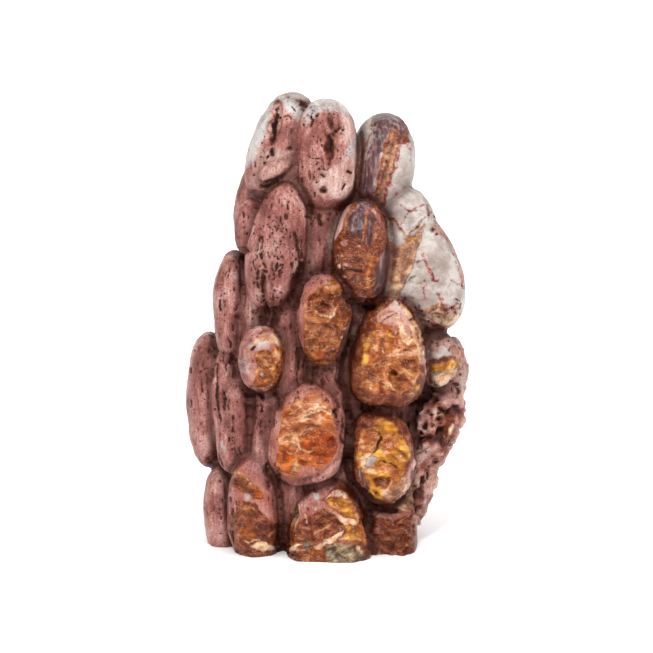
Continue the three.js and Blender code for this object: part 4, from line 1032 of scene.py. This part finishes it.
def insideOutline(outline, across, down):  # mm inside an outline, below 0 outside it
    inside = np.zeros(len(across), bool)
    nearest = np.full(len(across), 1e9)
    for (x0, y0), (x1, y1) in zip(outline, outline[1:] + outline[:1]):
        nearest = np.minimum(nearest, offPiece(x0, y0, x1, y1, across, down)[1])
        if y0 != y1:
            crossing = x0 + (down - y0) * (x1 - x0) / (y1 - y0)
            inside ^= ((y0 > down) != (y1 > down)) & (across < crossing)
    return np.where(inside, nearest, -nearest)


def insideLine(line, across, down):  # mm inside a line of changing half width
    best = np.full(len(across), -1e9)
    for (x0, y0, w0), (x1, y1, w1) in zip(line, line[1:] or line):
        along, gap = offPiece(x0, y0, x1, y1, across, down)
        best = np.maximum(best, w0 + along * (w1 - w0) - gap)
    return best


def cover(fields, finish, rows, inside):  # lays a finish over all that lie below it
    order = finishOrder.index(finish) if finish in finishOrder else -1
    for other in finishOrder[order + 1:]:
        fields[other][rows] = np.minimum(fields[other][rows], -inside)
    if order >= 0:
        fields[finish][rows] = np.maximum(fields[finish][rows], inside)


def nearby(sheet, line, margin):  # rows of the points within margin mm of a line's box, and where they lie
    rows, across, down = sheet
    xs, ys = zip(*(point[:2] for point in line))
    near = (across > min(xs) - margin) & (across < max(xs) + margin)
    near &= (down > min(ys) - margin) & (down < max(ys) + margin)
    return rows[near], across[near], down[near]


def drawPatch(skin, sheet, lobe, finish, sunk, relief, outline):
    rows, across, down = nearby(sheet, outline, sheetSettings["margin"])
    inside = insideOutline(outline, across, down)
    if lobe:
        own = list(lobes).index(lobe)
        others = np.delete(skin["apart"][:, rows], own, axis=0).min(0)
        inside = np.minimum(inside, others - skin["apart"][own, rows])
    cover(skin["fields"], finish, rows, inside)
    rugged = relief
    if finish in warmFinishes:
        rugged = relief * carving["windowRelief"]
        skin["warmth"][rows] = np.maximum(skin["warmth"][rows], ramp(inside, -sheetSettings["stain"], 0.5))
    skin["push"][rows] -= sunk * ramp(inside, *sheetSettings["sink"])
    skin["push"][rows] += rugged * skin["ridges"][rows] * ramp(inside, *sheetSettings["swell"])
    if finish in glassyFinishes:
        skin["fields"]["amber"][rows] = np.maximum(skin["fields"]["amber"][rows], inside)
    if finish != "porous":
        skin["calm"][rows] = np.maximum(skin["calm"][rows], ramp(inside, *sheetSettings["soft"]))


def drawMark(skin, sheet, finish, deep, line):
    widest = max(width for _, _, width in line)
    rows, across, down = nearby(sheet, line, widest + 3)
    inside = insideLine(line, across, down)
    if finish == "pitted":
        skin["pitted"][rows] = np.maximum(skin["pitted"][rows], ramp(inside, *sheetSettings["soft"]))
    elif finish:
        cover(skin["fields"], finish, rows, inside)
    if finish == "hole" and widest > sheetSettings["broad"]:
        cover(skin["fields"], "porous", rows, inside)
        size, far = sheetSettings["core"]
        core = inside - 0.3 * widest + far * noiseAt(skin["rest"][rows], size, 83)
        cover(skin["fields"], "hole", rows, core)
    skin["push"][rows] -= min(deep, carving["deepest"]) * ramp(inside, -0.5 - 0.25 * widest, 0.75 * widest)


def drawSheet(azimuth, patches, marks, skin):  # draws the patches and marks of one sheet on the stone
    across, down, away = onSheet(skin["shown"], azimuth)
    seen = np.nonzero(seenFrom(skin["shown"], skin["way"], azimuth, across, down, away))[0]
    across, down = across[seen], down[seen]
    for seed, (size, far) in enumerate(sheetSettings["wobbles"]):
        across += noiseAt(skin["rest"][seen], size, 71 + seed) * far
        down += noiseAt(skin["rest"][seen], size, 75 + seed) * far
    sheet = (seen, across, down)
    for lobe, *group in patches:
        for patch in group:
            drawPatch(skin, sheet, lobe, *patch)
    for finish, deep, *group in marks:
        for line in group:
            drawMark(skin, sheet, finish, deep, line)


def pickPits(skin, settings, draw):  # small pits and upright slits, each in the plane of the skin
    bare = np.max([skin["fields"][name] for name in finishOrder], axis=0) < -0.6
    bare = bare & (skin["calm"] < 0.3) & (skin["rest"][:, 2] > 3)
    bareRows, pittedRows = np.nonzero(bare)[0], np.nonzero(skin["pitted"] > 0.3)[0]
    size, usual = settings["crowding"]
    crowded = noiseAt(skin["rest"], size, 61) + usual
    found = []
    for rows, count in ((bareRows, settings["count"]), (pittedRows, settings["pitted"])):
        for _ in range(count):
            row = rows[int(draw.random() * len(rows))]
            if draw.random() > max(crowded[row], skin["pitted"][row]):
                continue
            half = draw.uniform(*settings["half"]) * (1 + 0.3 * skin["pitted"][row])
            slit = draw.uniform(*settings["slit"]) if draw.random() < settings["slits"] else 0
            out = skin["way"][row]
            along = np.array([draw.uniform(*settings["lean"]), 0, 1])
            along -= out * (along @ out)
            along /= max(np.linalg.norm(along), 0.2)
            depth = half * draw.uniform(*settings["depth"])
            found.append((skin["rest"][row], out, along, half, slit, depth))
    return found


def cutPits(skin, pits):  # sinks each pit and fills it with dirt and shadow
    tree = KDTree(len(skin["rest"]))
    for row, point in enumerate(skin["rest"]):
        tree.insert(point, row)
    tree.balance()
    for middle, out, along, half, slit, depth in pits:
        rows = np.array([near[1] for near in tree.find_range(middle, half + slit + 2)], int)
        if not len(rows):
            continue
        offset = skin["rest"][rows] - middle
        offset -= np.outer(offset @ out, out)
        offset -= np.outer(np.clip(offset @ along, -slit, slit), along)
        inside = half - np.linalg.norm(offset, axis=1)
        cover(skin["fields"], "hole", rows, inside)
        skin["push"][rows] -= depth * ramp(inside, -0.5 - 0.25 * half, 0.75 * half)


def roughen(skin):  # swells, ribs, the leached flank with its cavities, the floors of holes, and seams
    rest, fields = skin["rest"], skin["fields"]
    plain = 1 - skin["calm"]
    for seed, (size, proud) in enumerate(carving["swells"]):
        skin["push"] += noiseAt(rest, size, 31 + seed) * proud * (1 if size > carving["fine"] else plain)
    covers = [fields[name] for name in finishOrder if name != "blush"]
    crust = plain * (1 - ramp(np.max(covers, axis=0), -0.5, 0.5))
    hearts = np.array([name.startswith("heart") for name in lobes])
    between = ramp(skin["apart"][~hearts].min(0) - skin["apart"][hearts].min(0), -1, 2)
    for seed, (size, proud) in enumerate(carving["ribs"]):
        skin["push"] += noiseAt(rest, size, 41 + seed) * proud * crust * (1 + 2 * between)
    flank = carving["flank"]
    porous = ramp(fields["porous"], -0.5, 1)
    bent = bend(rest, *flank["bend"], 51)
    spots = spotsAt(bent, flank["cavity"], 54)
    (crest, high), (lump, proud), (cell, rim), (grit, rough) = flank["layers"]
    rugged = flank["level"] - high * np.abs(noiseAt(bent, crest, 57)) + noiseAt(bent, lump, 55) * proud
    rugged += rim * (spotsAt(bent, cell, 58) - 0.5) + rough * noiseAt(bent, grit, 60)
    leached = porous * skin["leached"]
    pit = flank["deep"] * (1 - ramp(spots, *flank["wall"]))
    skin["push"] += leached * (rugged * flank["proud"] - pit)
    skin["ridges"] += (rugged - skin["ridges"]) * porous
    shadow = (flank["shadow"] - spots) * flank["cavity"][0]
    fields["hole"] = np.maximum(fields["hole"], np.minimum(shadow, 4 * leached - 3.5))
    inHoles = ramp(fields["hole"], 0.2, 1.4)
    skin["push"] += inHoles * noiseAt(rest, 2.6, 59) * carving["holeFloor"]
    seams = ramp(skin["crevice"], 0.02, 0.28)
    skin["push"] -= carving["crevice"] * seams
    skin["crevice"] = seams


def describeSkin(rest, shown):  # what the stone's skin is like at each point: finishes, relief and shade
    _, way, apart, crevice = grownSurface(rest)
    count = len(rest)
    skin = {"rest": rest, "shown": shown, "way": way, "apart": apart, "crevice": crevice}
    skin["fields"] = {name: np.full(count, -5.0) for name in finishOrder}
    skins = np.array([lobe[4] for lobe in lobes.values()])
    for name in ("blush", "porous", "white", "jasper"):
        own = apart[skins == name].min(0)
        others = apart[skins != name].min(0)
        skin["fields"][name] = np.clip(others - own, -4, 4) + noiseAt(rest, 7, 11) * 1.5
    skin["leached"] = ramp(skin["fields"]["porous"], -0.5, 1)
    start, speed = carving["bleach"]
    height = np.clip((rest[:, 2] - start) * speed, -4, 2)
    front = ramp(-way[:, 1], 0.2, 0.7)  # bleached less
    skin["fields"]["frost"] = height + noiseAt(rest, 9, 12) * 2 - 2 * front
    for name in ("ridges", "push", "calm", "warmth", "pitted"):
        skin[name] = np.zeros(count)
    bent = bend(rest, 9, 3, 21)
    for seed, (size, proud) in enumerate(carving["crests"]):
        skin["ridges"] += proud * (0.75 - 3 * np.abs(noiseAt(bent, size, 4 + seed)))
    for seed, (size, proud) in enumerate(carving["bowls"]):
        skin["ridges"] += proud * (spotsAt(bent, size, 14 + seed) ** 2 - 0.3)
    drawSheet(0, frontPatches, frontMarks, skin)
    for azimuth, patches, marks in otherSheets:
        drawSheet(azimuth, patches, marks, skin)
    return skin


# ---- grow, project, carve and thin out the stone
carving = {
    "swells": ((27, 1.4), (11, 0.6), (5, 0.2)),  # mm across a swell, and mm that it stands proud
    "fine": 8,  # mm, swells up to this size leave windows alone
    "ribs": (((3.6, 3.6, 26), 0.4), ((1.8, 1.8, 10), 0.15)),  # upright ribs of the pink crust, as above
    "crevice": 0.7,  # mm that the seams between lobes are sunk
    "flank": {  # the leached porous rock
        "bend": (5, 2.2),  # mm between bends, and mm of them
        "level": 0.8,  # how far it stands up between crests
        "layers": (  # mm across and share of crests, lumps, cell walls and grit
            ((12, 12, 15), 2.4), (5.5, 0.9), ((3.4, 3.4, 4.2), 0.3), (2.1, 0.35),
        ),
        "proud": 2.1,  # mm, times the layers
        "cavity": (6.5, 6.5, 8),  # mm from one cavity to the next
        "deep": 4.2,  # mm, of a cavity
        "wall": (0.1, 0.45),  # shares of that spacing where its wall begins and ends
        "shadow": 0.28,  # share where its dirt and painted shadow end
    },
    "bleach": (219, 0.3),  # mm up where the crown turns pale, and how fast
    "crests": (((12, 12, 6.5), 0.7), ((5, 5, 3.2), 0.45)),  # crests of polished stone: mm across, share
    "bowls": (((9, 9, 5.5), 1.6), ((4.2, 4.2, 2.8), 0.8)),  # shallow bowls with sharp edges, as above
    "windowRelief": 1.5,  # times the relief that a patch of polished stone gives
    "deepest": 3.4,  # mm, of any mark
    "holeFloor": 0.9,  # mm that the floors of holes are uneven
    "pits": {
        "count": 1900,  # tries on bare crust
        "pitted": 420,  # tries along the pitted lines
        "crowding": ((9, 9, 14), 0.55),  # mm across a crowd of pits, and the usual share of tries that hold
        "half": (0.3, 0.55),  # mm, half width
        "slits": 0.25,  # share of pits drawn out into slits
        "slit": (0.3, 1.4),  # mm, half length of a slit
        "lean": (-0.15, 0.15),  # mm sideways for each mm up
        "depth": (1.2, 2.4),  # times the half width
    },
}
draw = random.Random(stoneSettings["seed"])
stone = growStone()
applyModifier(stone, "REMESH", mode="VOXEL", voxel_size=stoneSettings["voxel"])
print("lobes grown together:", len(stone.data.vertices), "points")
points = readPoints(stone.data)
for _ in range(2):
    distance, way = grownSurface(points)[:2]
    points -= way * distance[:, None]
writeValues(stone.data, "rest", points)
skin = describeSkin(points, points)
pits = pickPits(skin, carving["pits"], draw)
cutPits(skin, pits)
roughen(skin)
points = points + skin["way"] * skin["push"][:, None]
# where small faces are worth keeping: holes, windows and porous rock
fine = np.maximum(ramp(skin["fields"]["hole"], -1.6, -0.8), 0.7 * skin["calm"])
fine = np.maximum(fine, 0.6 * ramp(skin["fields"]["porous"], -1, 0))
group = stone.vertex_groups.new(name="plain")
for weight in range(1, 11):
    group.add(np.nonzero(np.round((1 - fine) * 10) == weight)[0].tolist(), weight / 10, "REPLACE")
stone.data.vertices.foreach_set("co", np.ascontiguousarray(points, np.float32).ravel())
stone.data.update()
print("skin carved")

form = bmesh.new()
form.from_mesh(stone.data)
bmesh.ops.smooth_vert(
    form, verts=form.verts, factor=stoneSettings["smoothing"],
    use_axis_x=True, use_axis_y=True, use_axis_z=True,
)
everything = form.verts[:] + form.edges[:] + form.faces[:]
cut = bmesh.ops.bisect_plane(
    form, geom=everything, plane_co=(0, 0, 0), plane_no=(0, 0, -1), clear_outer=True
)
rim = [edge for edge in cut["geom_cut"] if isinstance(edge, bmesh.types.BMEdge)]
bmesh.ops.holes_fill(form, edges=rim)
form.to_mesh(stone.data)
form.free()
count = sum(len(face.vertices) - 2 for face in stone.data.polygons)
applyModifier(
    stone, "DECIMATE", ratio=stoneSettings["triangles"] / count, vertex_group="plain",
    vertex_group_factor=stoneSettings["keeping"],
)
dropCrumbs(stone)
print("sawn flat and thinned out:", len(stone.data.polygons), "faces")

shown = readPoints(stone.data)
rest = readPoints(stone.data, "rest")
skin = describeSkin(rest, shown)
cutPits(skin, pits)
roughen(skin)
laidOut = {name: np.clip(skin["fields"][name], -4, 4) for name in finishOrder}
# where a finish takes a share of the ridge value, its colour is lighter on crests and darker in hollows,
# along with the relief: painted light and shade
laidOut["ridge"] = np.clip(skin["ridges"] * 0.5 + 0.5, 0, 1)
# the crevice, shelter and underside values darken the colour in the material: painted shade in seams,
# sheltered hollows and undersides
laidOut["crevice"] = skin["crevice"]
laidOut["shelter"] = shelterAt(rest, skin["way"])
laidOut["under"] = ramp(-skin["way"][:, 2], 0.05, 0.95)
laidOut["warmth"] = skin["warmth"]
laidOut["pitted"] = skin["pitted"]
for name, values in laidOut.items():
    writeValues(stone.data, name, values)
stone.data.attributes.remove(stone.data.attributes["rest"])
stone.data.vertices.foreach_set("co", np.ascontiguousarray(shown * mm, np.float32).ravel())
stone.data.update()
stone.data.shade_smooth()
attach(stone, "root")
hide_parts("onyx")
print("finishes laid out")


# ---- the stone's material
def linear(code):  # an sRGB hex colour as linear numbers
    parts = [int(code[i:i + 2], 16) / 255 for i in (0, 2, 4)]
    return [part / 12.92 if part <= 0.04045 else ((part + 0.055) / 1.055) ** 2.4 for part in parts] + [1]


def addNode(tree, kind, inputs=None, output=0, **settings):  # a node, its settings and links
    node = tree.nodes.new("ShaderNode" + kind)
    for name, value in settings.items():
        setattr(node, name, value)
    for name, value in (inputs or {}).items():
        if isinstance(value, bpy.types.NodeSocket):
            tree.links.new(value, node.inputs[name])
        else:
            node.inputs[name].default_value = value
    return node.outputs[output]


# Onyx in the trade's sense: banded chalcedony and jasper, its crust left on and windows polished into it.
# Each finish: colours from dark to light, shares of what picks between them, roughness, mm of relief,
# how ragged its edge is, mm over which the edge fades, how veined and how pored it is.
glassy = {"ridge": 0.35, "marble": 0.4, "crag": 0.25}  # chipped and marbled
finishes = {
    "pink": (  # crust, dull with a slight sheen
        ("6A3C36", "8C534B", "A87269", "C69D93"), {"grain": 0.3, "cloud": 0.45, "streak": 0.25},
        0.5, 0.35, 0, 1, 0, 1,
    ),
    "frost": (  # crust bleached at the top, chalky
        ("84706A", "A0948E", "B8B0AC", "C9C4C1"), {"grain": 0.35, "cloud": 0.5, "streak": 0.15},
        0.5, 0.2, 1, 1.8, 0, 1,
    ),
    "blush": (  # paler crust, sandy
        ("8C645B", "A87F74", "BF998F", "D6B8B0"), {"grain": 0.3, "cloud": 0.4, "streak": 0.3},
        0.55, 0.3, 0.8, 1.6, 0, 1,
    ),
    "porous": (  # broken and leached, quite dull; its colour follows the relief, dark in the hollows and pale on the crests: painted shade and light
        ("240D09", "5C281D", "90594A", "C6A294"), {"ridge": 0.65, "grain": 0.2, "cloud": 0.15},
        0.5, 0.7, 0.8, 1, 0, 1,
    ),
    "white": (  # milky chalcedony, satin
        ("8E8078", "A0928A", "AFA49D", "C0B8B2"), {"cloud": 0.45, "marble": 0.35, "grain": 0.2},
        0.32, 0.1, 0.6, 0.8, 0.3, 0.1,
    ),
    "jasper": (  # red-brown jasper, half polished
        ("42160A", "602610", "7A3A1E", "A0644A"), {"marble": 0.4, "grain": 0.35, "crag": 0.25},
        0.3, 0.5, 0.4, 0.45, 0.7, 0.25,
    ),
    "amber": (  # brown glassy chalcedony, polished
        ("52200A", "6C300E", "844418", "A86A3A"), glassy, 0.2, 0.7, 0.25, 0.5, 1, 0,
    ),
    "orange": (  # carnelian, polished, looks wet
        ("702200", "8C3602", "A44608", "C46A22"), glassy, 0.16, 0.6, 0.3, 1.2, 0.7, 0,
    ),
    "gold": (  # honey chalcedony, polished
        ("80440A", "A06010", "BC7A1C", "DCA648"), glassy, 0.16, 0.7, 0.3, 0.8, 0.7, 0,
    ),
    "salmon": (  # paler carnelian, polished
        ("7A3812", "944A22", "AA6236", "CC966A"), glassy, 0.22, 0.7, 0.3, 0.8, 1, 0,
    ),
    "tan": (  # olive-brown inlay, smooth
        ("704630", "946448", "B08260", "D0AE8E"), {"marble": 0.55, "cloud": 0.45},
        0.22, 0.15, 0.3, 0.6, 0.5, 0,
    ),
    "purple": (  # mauve-brown bands of jasper, half polished
        ("36201F", "4C2E2F", "624346", "8C6F6C"), {"streak": 0.65, "cloud": 0.35},
        0.28, 0.12, 0.25, 0.5, 0, 0.15,
    ),
    "wine": (  # fine iron-red veins in the milky stone, satin
        ("5A2424", "7A3838", "98504C", "BC8880"), {"marble": 0.5, "grain": 0.5}, 0.35, 0.1, 0.5, 0.4, 0, 0.2,
    ),
    "cream": (  # opaque pale bands, satin
        ("A06A48", "BC8A68", "CEA682", "E2C6A8"), {"marble": 0.5, "grain": 0.25, "ridge": 0.25},
        0.3, 0.3, 0.25, 0.4, 0.8, 0,
    ),
    "grey": (  # clear chalcedony over a dark ground, glossy
        ("3C2A1C", "584430", "7A654A", "A89070"), {"marble": 0.6, "ridge": 0.4}, 0.2, 0.4, 0.4, 0.6, 0.8, 0,
    ),
    "hole": (  # dirt and shadow in pits and cavities, dull
        ("6A3A2E", "472419", "28140E", "120805"), {"grain": 0.35, "depth": 0.8}, 0.75, 0, 0.2, 0.3, 0, 0,
    ),
}
# Noises: mm across, detail, roughness and distortion, then the values that become 0 and 1.
noises = {
    "grain": ((0.9, 0.9, 0.9), 3, 0.65, 0, 0.33, 0.67),  # sugary crystal grains, drawn coarser to show
    "cloud": ((13, 13, 16), 4, 0.55, 0.3, 0.36, 0.64),
    "marble": ((6, 6, 4.4), 4, 0.55, 0.7, 0.36, 0.64),
    "crag": ((7, 7, 4.2), 4, 0.55, 0.5, 0.3, 1.2),  # crests between chipped hollows
    "streak": ((1.6, 1.6, 14), 3, 0.6, 0, 0.32, 0.68),  # upright, as the crust and the bands grew
    "edge": ((3.4, 3.4, 3.8), 5, 0.62, 0, 0, 1),  # ragged edges where finishes meet
    "thread": ((8, 8, 4.6), 3, 0.5, 0.5, 0, 1),  # its middle value draws pale threads of quartz
    "crack": ((11, 11, 8), 4, 0.55, 0.5, 0, 1),  # its middle value draws dark healed cracks
}
# Lines that the middle value of a noise draws: half width in that value, colour, strength, mm proud.
lines = {
    "thread": (0.008, "E0B98C", 0.5, 0.08),
    "crack": (0.007, "46180C", 0.7, -0.15),
}
# Spots: mm apart, size and where it is gone as shares of that, share of spots, colour, strength, mm proud.
spots = {
    "fleck": ((1.5, 1.5, 1.9), 0.1, 0.2, 0.4, "E2C2B6", 0.35, 0.05),  # grains of quartz in the crust
    "pore": ((1.5, 1.5, 1.9), 0.14, 0.2, 0.36, "572A22", 0.9, -0.35),
    "dash": ((1.9, 1.9, 5.5), 0.09, 0.13, 0.26, "461F19", 0.9, -0.4),  # pores drawn out into upright dashes
    "slot": ((3.4, 3.4, 6.5), 0.09, 0.12, 0.14, "35170F", 0.95, -0.6),
}
surface = {
    "steps": (0.18, 0.42, 0.6, 0.84),  # where a finish's four colours stand between 0 and 1
    "edge": 6,  # mm that the ragged edges wander in all
    "crest": (0.9, 1.5),  # offset and gain of the crests between chipped hollows
    "warm": ("9C5238", 0.45),  # stain of the crust round the windows: colour, strength
    "crowding": {"cloud": 0.15, "pitted": 0.5, "shelter": 0.3},  # how far each crowds the spots of the crust
    "shadeAndDirtColour": "3A150C",  # colour of the painted shade in crevices, sheltered hollows and undersides, and of the dirt along the pitted lines
    "paintedShade": {"crevice": 0.42, "shelter": 0.6, "under": 0.15},  # how strongly each is darkened: painted shade in seams, sheltered hollows and undersides
    "pitted": 0.24,  # the same for the pitted lines of the crust: the dirt of their pits, and painted shade
    "darkest": 0.9,
    "refraction": 1.54,  # quartz
    "gloss": 0.2,  # low, so that the lamps don't wash out the colours
}


def paintStone():
    material = bpy.data.materials.new("onyxRoughAndPolished")
    material.use_nodes = True
    tree = material.node_tree
    shader = tree.nodes["Principled BSDF"]
    place = addNode(tree, "TexCoord", output="Object")
    readings = {name: addNode(tree, "Attribute", output="Fac", attribute_name=name) for name in laidOut}
    picks = {"ridge": readings["ridge"]}
    for name, (sizes, detail, roughness, distortion, low, high) in noises.items():
        counted = addNode(tree, "Mapping", {"Vector": place, "Scale": [1 / (size * mm) for size in sizes]})
        values = {"Vector": counted, "Scale": 1, "Detail": detail, "Roughness": roughness}
        made = addNode(tree, "TexNoise", {**values, "Distortion": distortion})
        if name == "crag":
            made.node.noise_type = "RIDGED_MULTIFRACTAL"
            for key, value in zip(("Offset", "Gain"), surface["crest"]):
                made.node.inputs[key].default_value = value
        picks[name] = addNode(tree, "MapRange", {"Value": made, "From Min": low, "From Max": high})
    span = {"Value": readings["hole"], "From Min": -0.2, "From Max": 1.1}  # mm inside a hole
    picks["depth"] = addNode(tree, "MapRange", span)

    wide = surface["edge"]
    edge = addNode(tree, "Math", {0: picks["edge"], 1: wide, 2: -wide / 2}, operation="MULTIPLY_ADD")
    look = {}
    for name in ("pink",) + finishOrder:
        colours, patterns, roughness, relief, wander, fade, veins, pores = finishes[name]
        pick = 0.0
        for pattern, share in patterns.items():
            pick = addNode(tree, "Math", {0: picks[pattern], 1: share, 2: pick}, operation="MULTIPLY_ADD")
        ramped = addNode(tree, "ValToRGB", {"Fac": pick})
        steps = ramped.node.color_ramp.elements
        steps[0].position, *between, steps[1].position = surface["steps"]
        for position in between:
            steps.new(position)
        for step, colour in zip(steps, colours):
            step.color = linear(colour)
        height = addNode(tree, "Math", {0: pick, 1: relief}, operation="MULTIPLY")
        traits = (roughness, veins, pores, 1)
        if not look:
            look = {"colour": ramped, "height": height, "traits": traits}
            continue
        away = addNode(tree, "Math", {0: edge, 1: wander, 2: readings[name]}, operation="MULTIPLY_ADD")
        span = {"Value": away, "From Min": -fade, "From Max": fade}
        share = addNode(tree, "MapRange", span, interpolation_type="SMOOTHSTEP")
        look["colour"] = addNode(tree, "Mix", {0: share, 6: look["colour"], 7: ramped}, 2, data_type="RGBA")
        look["traits"] = addNode(tree, "Mix", {0: share, 6: look["traits"], 7: traits}, 2, data_type="RGBA")
        look["height"] = addNode(tree, "Mix", {0: share, 2: look["height"], 3: height})
        if name == "blush":  # the crust is stained warm round the windows
            colour, strength = surface["warm"]
            stain = addNode(tree, "Math", {0: readings["warmth"], 1: strength}, operation="MULTIPLY")
            stained = {0: stain, 6: look["colour"], 7: linear(colour)}
            look["colour"] = addNode(tree, "Mix", stained, 2, data_type="RGBA")
    roughness, veins, pores = addNode(tree, "SeparateColor", {0: look["traits"]}).node.outputs

    # pale threads and dark cracks through the polished stone
    for name, (width, colour, strength, proud) in lines.items():
        off = addNode(tree, "Math", {0: picks[name], 1: 0.5}, operation="SUBTRACT")
        off = addNode(tree, "Math", {0: off}, operation="ABSOLUTE")
        span = {"Value": off, "From Min": width * 0.3, "From Max": width, "To Min": 1, "To Max": 0}
        line = addNode(tree, "MapRange", span)
        line = addNode(tree, "Math", {0: line, 1: veins}, operation="MULTIPLY")
        share = addNode(tree, "Math", {0: line, 1: strength}, operation="MULTIPLY")
        drawn = {0: share, 6: look["colour"], 7: linear(colour)}
        look["colour"] = addNode(tree, "Mix", drawn, 2, data_type="RGBA")
        raised = {0: line, 1: proud, 2: look["height"]}
        look["height"] = addNode(tree, "Math", raised, operation="MULTIPLY_ADD")

    # flecks, pores and dashes of the crust
    more = surface["crowding"]
    span = {"Value": picks["cloud"], "To Min": -more["cloud"], "To Max": more["cloud"]}
    crowded = addNode(tree, "MapRange", span)
    for name in ("pitted", "shelter"):
        added = {0: readings[name], 1: more[name], 2: crowded}
        crowded = addNode(tree, "Math", added, operation="MULTIPLY_ADD")
    for sizes, small, gone, few, colour, strength, proud in spots.values():
        counted = addNode(tree, "Mapping", {"Vector": place, "Scale": [1 / (size * mm) for size in sizes]})
        cells = addNode(tree, "TexVoronoi", {"Vector": counted, "Scale": 1})
        chosen = addNode(tree, "SeparateColor", {0: cells.node.outputs["Color"]})
        chosen = addNode(tree, "Math", {0: chosen, 1: crowded})
        chosen = addNode(tree, "MapRange", {"Value": chosen, "From Min": 1 - few, "From Max": 1.03 - few})
        span = {"Value": cells, "From Min": small, "From Max": gone, "To Min": 1, "To Max": 0}
        spot = addNode(tree, "MapRange", span)
        for other in (chosen, pores):
            spot = addNode(tree, "Math", {0: spot, 1: other}, operation="MULTIPLY")
        share = addNode(tree, "Math", {0: spot, 1: strength}, operation="MULTIPLY")
        drawn = {0: share, 6: look["colour"], 7: linear(colour)}
        look["colour"] = addNode(tree, "Mix", drawn, 2, data_type="RGBA")
        raised = {0: spot, 1: proud, 2: look["height"]}
        look["height"] = addNode(tree, "Math", raised, operation="MULTIPLY_ADD")

    # painted shade: crevices, sheltered hollows and undersides are darkened; the pitted lines of the crust
    # are darkened by the dirt of their pits and by painted shade
    paintedShadeAndDirt = addNode(tree, "Math", {0: readings["pitted"], 1: pores}, operation="MULTIPLY")
    paintedShadeAndDirt = addNode(tree, "Math", {0: paintedShadeAndDirt, 1: surface["pitted"]}, operation="MULTIPLY")
    for name, share in surface["paintedShade"].items():
        paintedShadeAndDirt = addNode(tree, "Math", {0: readings[name], 1: share, 2: paintedShadeAndDirt}, operation="MULTIPLY_ADD")
    paintedShadeAndDirt = addNode(tree, "Math", {0: paintedShadeAndDirt, 1: surface["darkest"]}, operation="MINIMUM")
    stained = {0: paintedShadeAndDirt, 6: look["colour"], 7: linear(surface["shadeAndDirtColour"])}
    look["colour"] = addNode(tree, "Mix", stained, 2, data_type="RGBA")
    bump = addNode(tree, "Bump", {"Strength": 1, "Distance": mm, "Height": look["height"]})
    tree.links.new(look["colour"], shader.inputs["Base Color"])
    tree.links.new(roughness, shader.inputs["Roughness"])
    tree.links.new(bump, shader.inputs["Normal"])
    shader.inputs["IOR"].default_value = surface["refraction"]
    shader.inputs["Specular IOR Level"].default_value = surface["gloss"]
    return material


stone.data.materials.clear()
stone.data.materials.append(paintStone())
print("stone painted")

# ---- floor and light
studio = {
    "floor": 60,  # m across, so that it fills the view to the top
    "paper": "FAFAFA",
    "sky": 0.45,  # strength of the white all round
    "suns": (  # direction to the light, strength, degrees across
        ((-0.2, -0.75, 1.2), 1.8, 75),
        ((0.95, -0.3, 0.8), 1.0, 70),
        ((-0.1, -0.9, 0.8), 1.2, 7),
        ((0.1, 0.9, 0.9), 1.1, 60),
    ),
}


def addSun(number, towards, strength, spread):
    light = bpy.data.lights.new(f"sun{number}", "SUN")
    light.energy = strength
    light.angle = math.radians(spread)
    lamp = bpy.data.objects.new(f"sun{number}", light)
    lamp.rotation_euler = Vector(towards).to_track_quat("Z", "Y").to_euler()
    lamp.location = Vector(towards)
    bpy.context.scene.collection.objects.link(lamp)


floorForm = bmesh.new()
bmesh.ops.create_grid(floorForm, x_segments=1, y_segments=1, size=studio["floor"] / 2)
floorMesh = bpy.data.meshes.new("floor")
floorForm.to_mesh(floorMesh)
floorForm.free()
floor = bpy.data.objects.new("floor", floorMesh)
bpy.context.scene.collection.objects.link(floor)
paper = bpy.data.materials.new("mattPaper")  # matt card, no shine
paper.use_nodes = True
paperInputs = paper.node_tree.nodes["Principled BSDF"].inputs
paperInputs["Base Color"].default_value = linear(studio["paper"])
paperInputs["Roughness"].default_value = 1
floorMesh.materials.append(paper)
world = bpy.data.worlds.new("studio")
bpy.context.scene.world = world
world.use_nodes = True
skyInputs = world.node_tree.nodes["Background"].inputs
skyInputs["Color"].default_value = (1, 1, 1, 1)
skyInputs["Strength"].default_value = studio["sky"]
for number, (towards, strength, spread) in enumerate(studio["suns"]):
    addSun(number, towards, strength, spread)
bpy.context.scene.view_settings.view_transform = "Standard"
print("studio lit")
